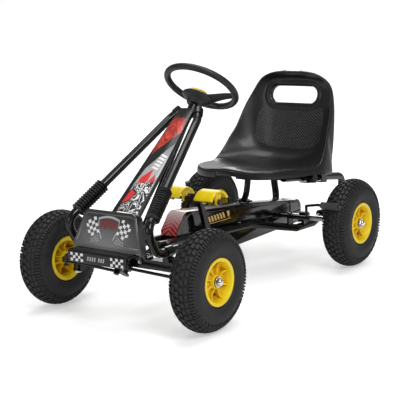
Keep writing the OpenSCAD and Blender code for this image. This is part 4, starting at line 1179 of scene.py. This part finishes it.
def chain_case():
    paint = case_print()
    upper = [(523.6, 173.2), (523, 186)] + arc(470, 196, 34, 30, 82, 10) \
        + [(298, 209), (209, 199), (-52, 160.3)] + arc(-66, 136, 24, 70, 180, 12) \
        + [(-90, 125.2), (0, 125.2), (158, 144.6), (190, 148.6)]
    lower = [(520.2, 149.6), (158, 122.9), (158, 144.2), (0, 124.8), (-90, 124.8)] \
        + arc(-66, 113, 24, 180, 270, 12) + [(380, 89), (470, 119)]
    holes = [arc(*at, 0, 345, 23) for at in ((425, 168, 14), (0, 125, 9.6), (60, 138, 7.6))]
    tail_mouth = [(-86.5, 127.6), (-86.5, 122.4), (0, 122.4), (154, 141.2), (154, 147.4), (0, 127.6)]

    def stood(part):
        """A slab drawn in the kart's x and z, its thickness laid along y."""
        return laid(part, lambda x, z, y: kart(x, y, z))

    for name, outline, node, low in (("case_top_half", upper, "chain_case_upper", 145.4),
                                     ("case_lower_half", lower, "chain_case_lower", 120.0)):
        if clockwise(outline):
            outline = outline[::-1]
        outer = stood(slab(outline, -27, 27, 3.2, 4))
        front_mouth = [(160.5, low), (518, low + 26.2), (518, low + 31.2), (160.5, low + 5.2)]
        # the hollow, the bores, and the open side that meets the frame
        cutters = [stood(slab([tuple(p) for p in inset(outline, 2.0)], -25, 25))] \
            + [stood(slab(h, -40, 40)) for h in holes] \
            + [stood(slab(mouth, -24.9, 24.9)) for mouth in (tail_mouth, front_mouth)]
        dress(name, cut(mesh_from(name, outer), cutters), paint, node, angle=42)
    # a bead pressed into each side, and the strap round the tail
    bead = rounded_outline([(505, 180), (502, 196), (466, 220), (300, 199.5), (212, 190), (-48, 152.5),
                            (-70, 150), (-80, 136)], 9, 4)
    beads = [sweep([kart(x, s * 27.0, z) for x, z in bead], 0.0011, 10) for s in (1, -1)]
    body = body_of("chain_case_upper")
    piece("case_bead", merge(*beads), paint, body=body)
    strap = rounded_outline([(-34, 160.5), (-22, 162.4), (-22, 127), (-34, 127)], 2)
    straps = [stood(slab(strap, 26.6, 28.0, 0.5)), stood(slab(strap, -28.0, -26.6, 0.5))]
    piece("case_strap", merge(*straps), BLACK_PAINT, body=body)
    bars = [[(x, 180), (x + 8, 180.6), (x + 15, 197), (x + 7, 196.4)] for x in range(384, 305, -13)]
    bars += [[(280, 172.6), (400, 176.6), (400, 177.8), (280, 174.4)],
             [(286, 195.2), (300, 196.2), (292, 178.6), (287, 178.2)]]
    for name, s in (("case_gold_left", 1), ("case_gold_right", -1)):
        flat_shapes(name, bars, lambda x, z, out: kart(x, s * (27.0 + out), z), GOLD_INK, body)


# ---------------------------------------------------------------- steering wheel
WHEEL = Matrix.Translation(kart(354, 0, 542)) @ Matrix.Rotation(-math.radians(39.4), 4, "Y")


def on_wheel(x, y, h):
    """A point given in millimetres from the middle of the wheel's rim, h along the column."""
    return WHEEL @ (Vector((x, y, h)) * MM)


def steering_wheel():
    """Padded rim, a dished hub below it on two broad swept spokes, and a third spoke towards the driver."""
    rim_r, grip, steps, sides = 96.0, 9.0, 96, 28
    verts = []
    for i in range(steps):
        a = 2 * math.pi * i / steps
        for k in range(sides):
            t = 2 * math.pi * k / sides
            r = grip - (0.7 if k in (sides // 4, 3 * sides // 4) else 0.0)      # the mould seam
            reach = rim_r + r * math.cos(t)
            verts.append((reach * math.cos(a), reach * math.sin(a), r * math.sin(t)))
    parts = [(verts, grid_faces(steps, sides, True, True))]
    hub = [(0.5, -31), (29.6, -31), (30.4, -28.6), (33.5, -28.2), (37.6, -29.4), (40.4, -32), (39.6, -35),
           (34.5, -40), (27.5, -45), (22.6, -49), (21.4, -54.6), (19.6, -56.6), (7.1, -56.6), (7.1, -33),
           (0.5, -33)]
    parts.append(turned(hub, 72))
    stations, sides = 15, 20
    for angle, wide_hub in ((115, 27), (245, 27), (180, 17)):
        verts = []
        for k in range(stations):
            t = k / (stations - 1)
            ease = t * t * (3 - 2 * t)
            half = wide_hub + (12 - wide_hub) * ease
            high, low = -28.8 + 31.0 * ease, -45.0 + 40.0 * t ** 0.75
            mid, tall = (high + low) / 2, (high - low) / 2
            for q in range(sides):
                c, w = math.cos(2 * math.pi * q / sides), math.sin(2 * math.pi * q / sides)
                verts.append((16 + (rim_r - 21) * t, half * math.copysign(abs(c) ** 0.7, c),
                              mid + tall * math.copysign(abs(w) ** 0.8, w)))
        faces = grid_faces(stations, sides, False, True)
        faces += [tuple(range(sides)), tuple(range(len(verts) - sides, len(verts)))]
        parts.append(moved((verts, faces), Matrix.Rotation(math.radians(angle), 4, "Z")))
    piece("wheel_moulding", laid(merge(*parts), on_wheel), GRIP, "steering_wheel", angle=45)
    cap = [(0.5, -30.8), (29.0, -30.8), (29.1, -22.4), (28.6, -20.6), (26.8, -19.3), (23.4, -18.4),
           (20.0, -18.2), (18.6, -18.9), (15, -19.2), (0.5, -19.0)]
    piece("wheel_cap_moulding", laid(turned(cap, 64), on_wheel), YELLOW, "wheel_cap", angle=40)


# ---------------------------------------------------------------- pedals
def pedals():
    """Each pedal: a thick arch with rolled edges and low cleats, on two ribs with eyes round the spindle."""
    lanes = [(0, 0.0), (12, 0.0), (23, 0.0), (27, 0.02), (28.6, 0.12), (29, 0.36)]
    lanes = [(-w, drop) for w, drop in lanes[:0:-1]] + lanes
    steps, arch_r = 53, 42
    for side, s in (("left", 1), ("right", -1)):
        low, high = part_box("pedal_" + side)
        cx = ((low.x + high.x) / 2 - BASE.x) / MM
        cz = high.z / MM - arch_r        # middle of the tread's arc
        verts = []
        for i in range(steps):
            t = i / (steps - 1)
            a = math.radians(25 + 130 * t)
            end = min(1.0, min(t, 1 - t) / 0.035)
            thin = (1 - math.sqrt(1 - (1 - end) ** 2)) * 2.2
            cleat = 0.5 if abs((t * 13) % 1 - 0.5) <= 0.28 and 0.06 < t < 0.94 else 0.0
            line = [(w, arch_r - 1.1 - drop * 6.2 + cleat * (abs(w) < 24) - thin) for w, drop in lanes]
            line += [(w * 0.985, arch_r - 7.0 + drop * 2.08 + thin) for w, drop in reversed(lanes)]
            verts += [kart(cx + r * math.cos(a), s * 90 + w, cz + r * math.sin(a)) for w, r in line]
        n = 2 * len(lanes)
        faces = grid_faces(steps, n, False, True)
        faces += [tuple(range(n)), tuple(range((steps - 1) * n, steps * n))]
        parts = [(verts, faces)]
        for y in (66, 108):
            rib = arc(cx, cz + 10, 9, 180, 360, 12) + [(cx + 15, cz + 34.5), (cx - 15, cz + 34.5)]
            bore = slab(arc(cx, cz + 10, 5.1, 0, 345, 23), y - 2, y + 8)
            eye = cut(mesh_from("rib", slab(rib, y, y + 6, 0.9)), [bore])
            parts.append(([kart(v.co.x, s * v.co.z, v.co.y) for v in eye.vertices],
                          [tuple(f.vertices) for f in eye.polygons]))
        piece("pedal_arch_" + side, merge(*parts), YELLOW, "pedal_" + side, angle=42)


# ---------------------------------------------------------------- carried-over nodes
def carried_over():
    """Every CAD node that keeps its own shape gets the material of its slot."""
    for name, obj in NODES.items():
        obj.data.materials.clear()
        obj.data.materials.append(BY_SLOT[slot_of(name)])


# ---------------------------------------------------------------- stage
def stage():
    mesh = mesh_from("floor", ([(-30, -30, 0), (30, -30, 0), (30, 30, 0), (-30, 30, 0)], [(0, 1, 2, 3)]))
    floor = bpy.data.objects.new("floor", mesh)
    bpy.context.scene.collection.objects.link(floor)
    s = Shader("floor")
    grain = s.noise(3.0, 4.0)
    x, y, z = s.split(s.point())
    away = s.math("SQRT", s.plus(s.times(x, x), s.times(y, y)))
    seen = s.node("ShaderNodeLightPath").outputs["Is Camera Ray"]
    glow = s.times(s.ramp(away, 0.5, 3.0, 0.46, 0.95), s.ramp(seen, 0.0, 1.0, 0.25, 1.0))
    s.set(Base_Color=s.mix(grain, (0.80, 0.80, 0.80), (0.83, 0.83, 0.83)), Roughness=0.5,
          Specular_IOR_Level=0.3, Emission_Color=(1, 1, 1), Emission_Strength=glow)
    mesh.materials.append(s.mat)

    world = bpy.data.worlds.new("studio")
    bpy.context.scene.world = world
    world.use_nodes = True
    background = world.node_tree.nodes["Background"]
    background.inputs["Color"].default_value = (1, 1, 1, 1)
    seen = world.node_tree.nodes.new("ShaderNodeLightPath").outputs["Is Camera Ray"]
    share = world.node_tree.nodes.new("ShaderNodeMapRange")      # the backdrop is white, its light is gentle
    share.inputs["To Min"].default_value = 0.26
    share.inputs["To Max"].default_value = 1.0
    world.node_tree.links.new(seen, share.inputs["Value"])
    world.node_tree.links.new(share.outputs[0], background.inputs["Strength"])

    def softbox(name, at, aim, size, power):
        data = bpy.data.lights.new(name, "AREA")
        data.shape, data.size, data.size_y, data.energy = "RECTANGLE", size[0], size[1], power
        lamp = bpy.data.objects.new(name, data)
        bpy.context.scene.collection.objects.link(lamp)
        lamp.location = at
        lamp.rotation_mode = "QUATERNION"
        lamp.rotation_quaternion = (Vector(aim) - Vector(at)).to_track_quat("-Z", "Y")

    softbox("key", (1.2, 2.4, 2.6), (0, 0, 0.2), (1.3, 1.3), 48)
    softbox("top", (-0.2, 0.0, 3.0), (0, 0, 0), (2.2, 1.6), 44)
    softbox("rim", (-2.2, -1.4, 1.8), (0, 0, 0.3), (1.2, 1.6), 24)
    softbox("front", (2.8, -0.4, 1.2), (0, 0, 0.3), (1.2, 1.2), 12)

    camera_data = bpy.data.cameras.new("camera")
    camera_data.sensor_width = 36.0
    camera_data.lens = 98.22
    camera = bpy.data.objects.new("camera", camera_data)
    bpy.context.scene.collection.objects.link(camera)
    right, up, back = (-0.5952, 0.8024, -0.0432), (-0.1868, -0.0859, 0.9786), (0.7816, 0.5905, 0.2010)
    turn = Matrix((right, up, back)).transposed().to_4x4()
    camera.matrix_world = Matrix.Translation((2.3593, 1.7315, 0.8300)) @ turn
    bpy.context.scene.camera = camera
    bpy.context.scene.view_settings.view_transform = "Standard"


carried_over()
wheels()
seat()
tubes()
boots()
fairing()
number_plate()
bumper()
chain_case()
steering_wheel()
pedals()
stage()
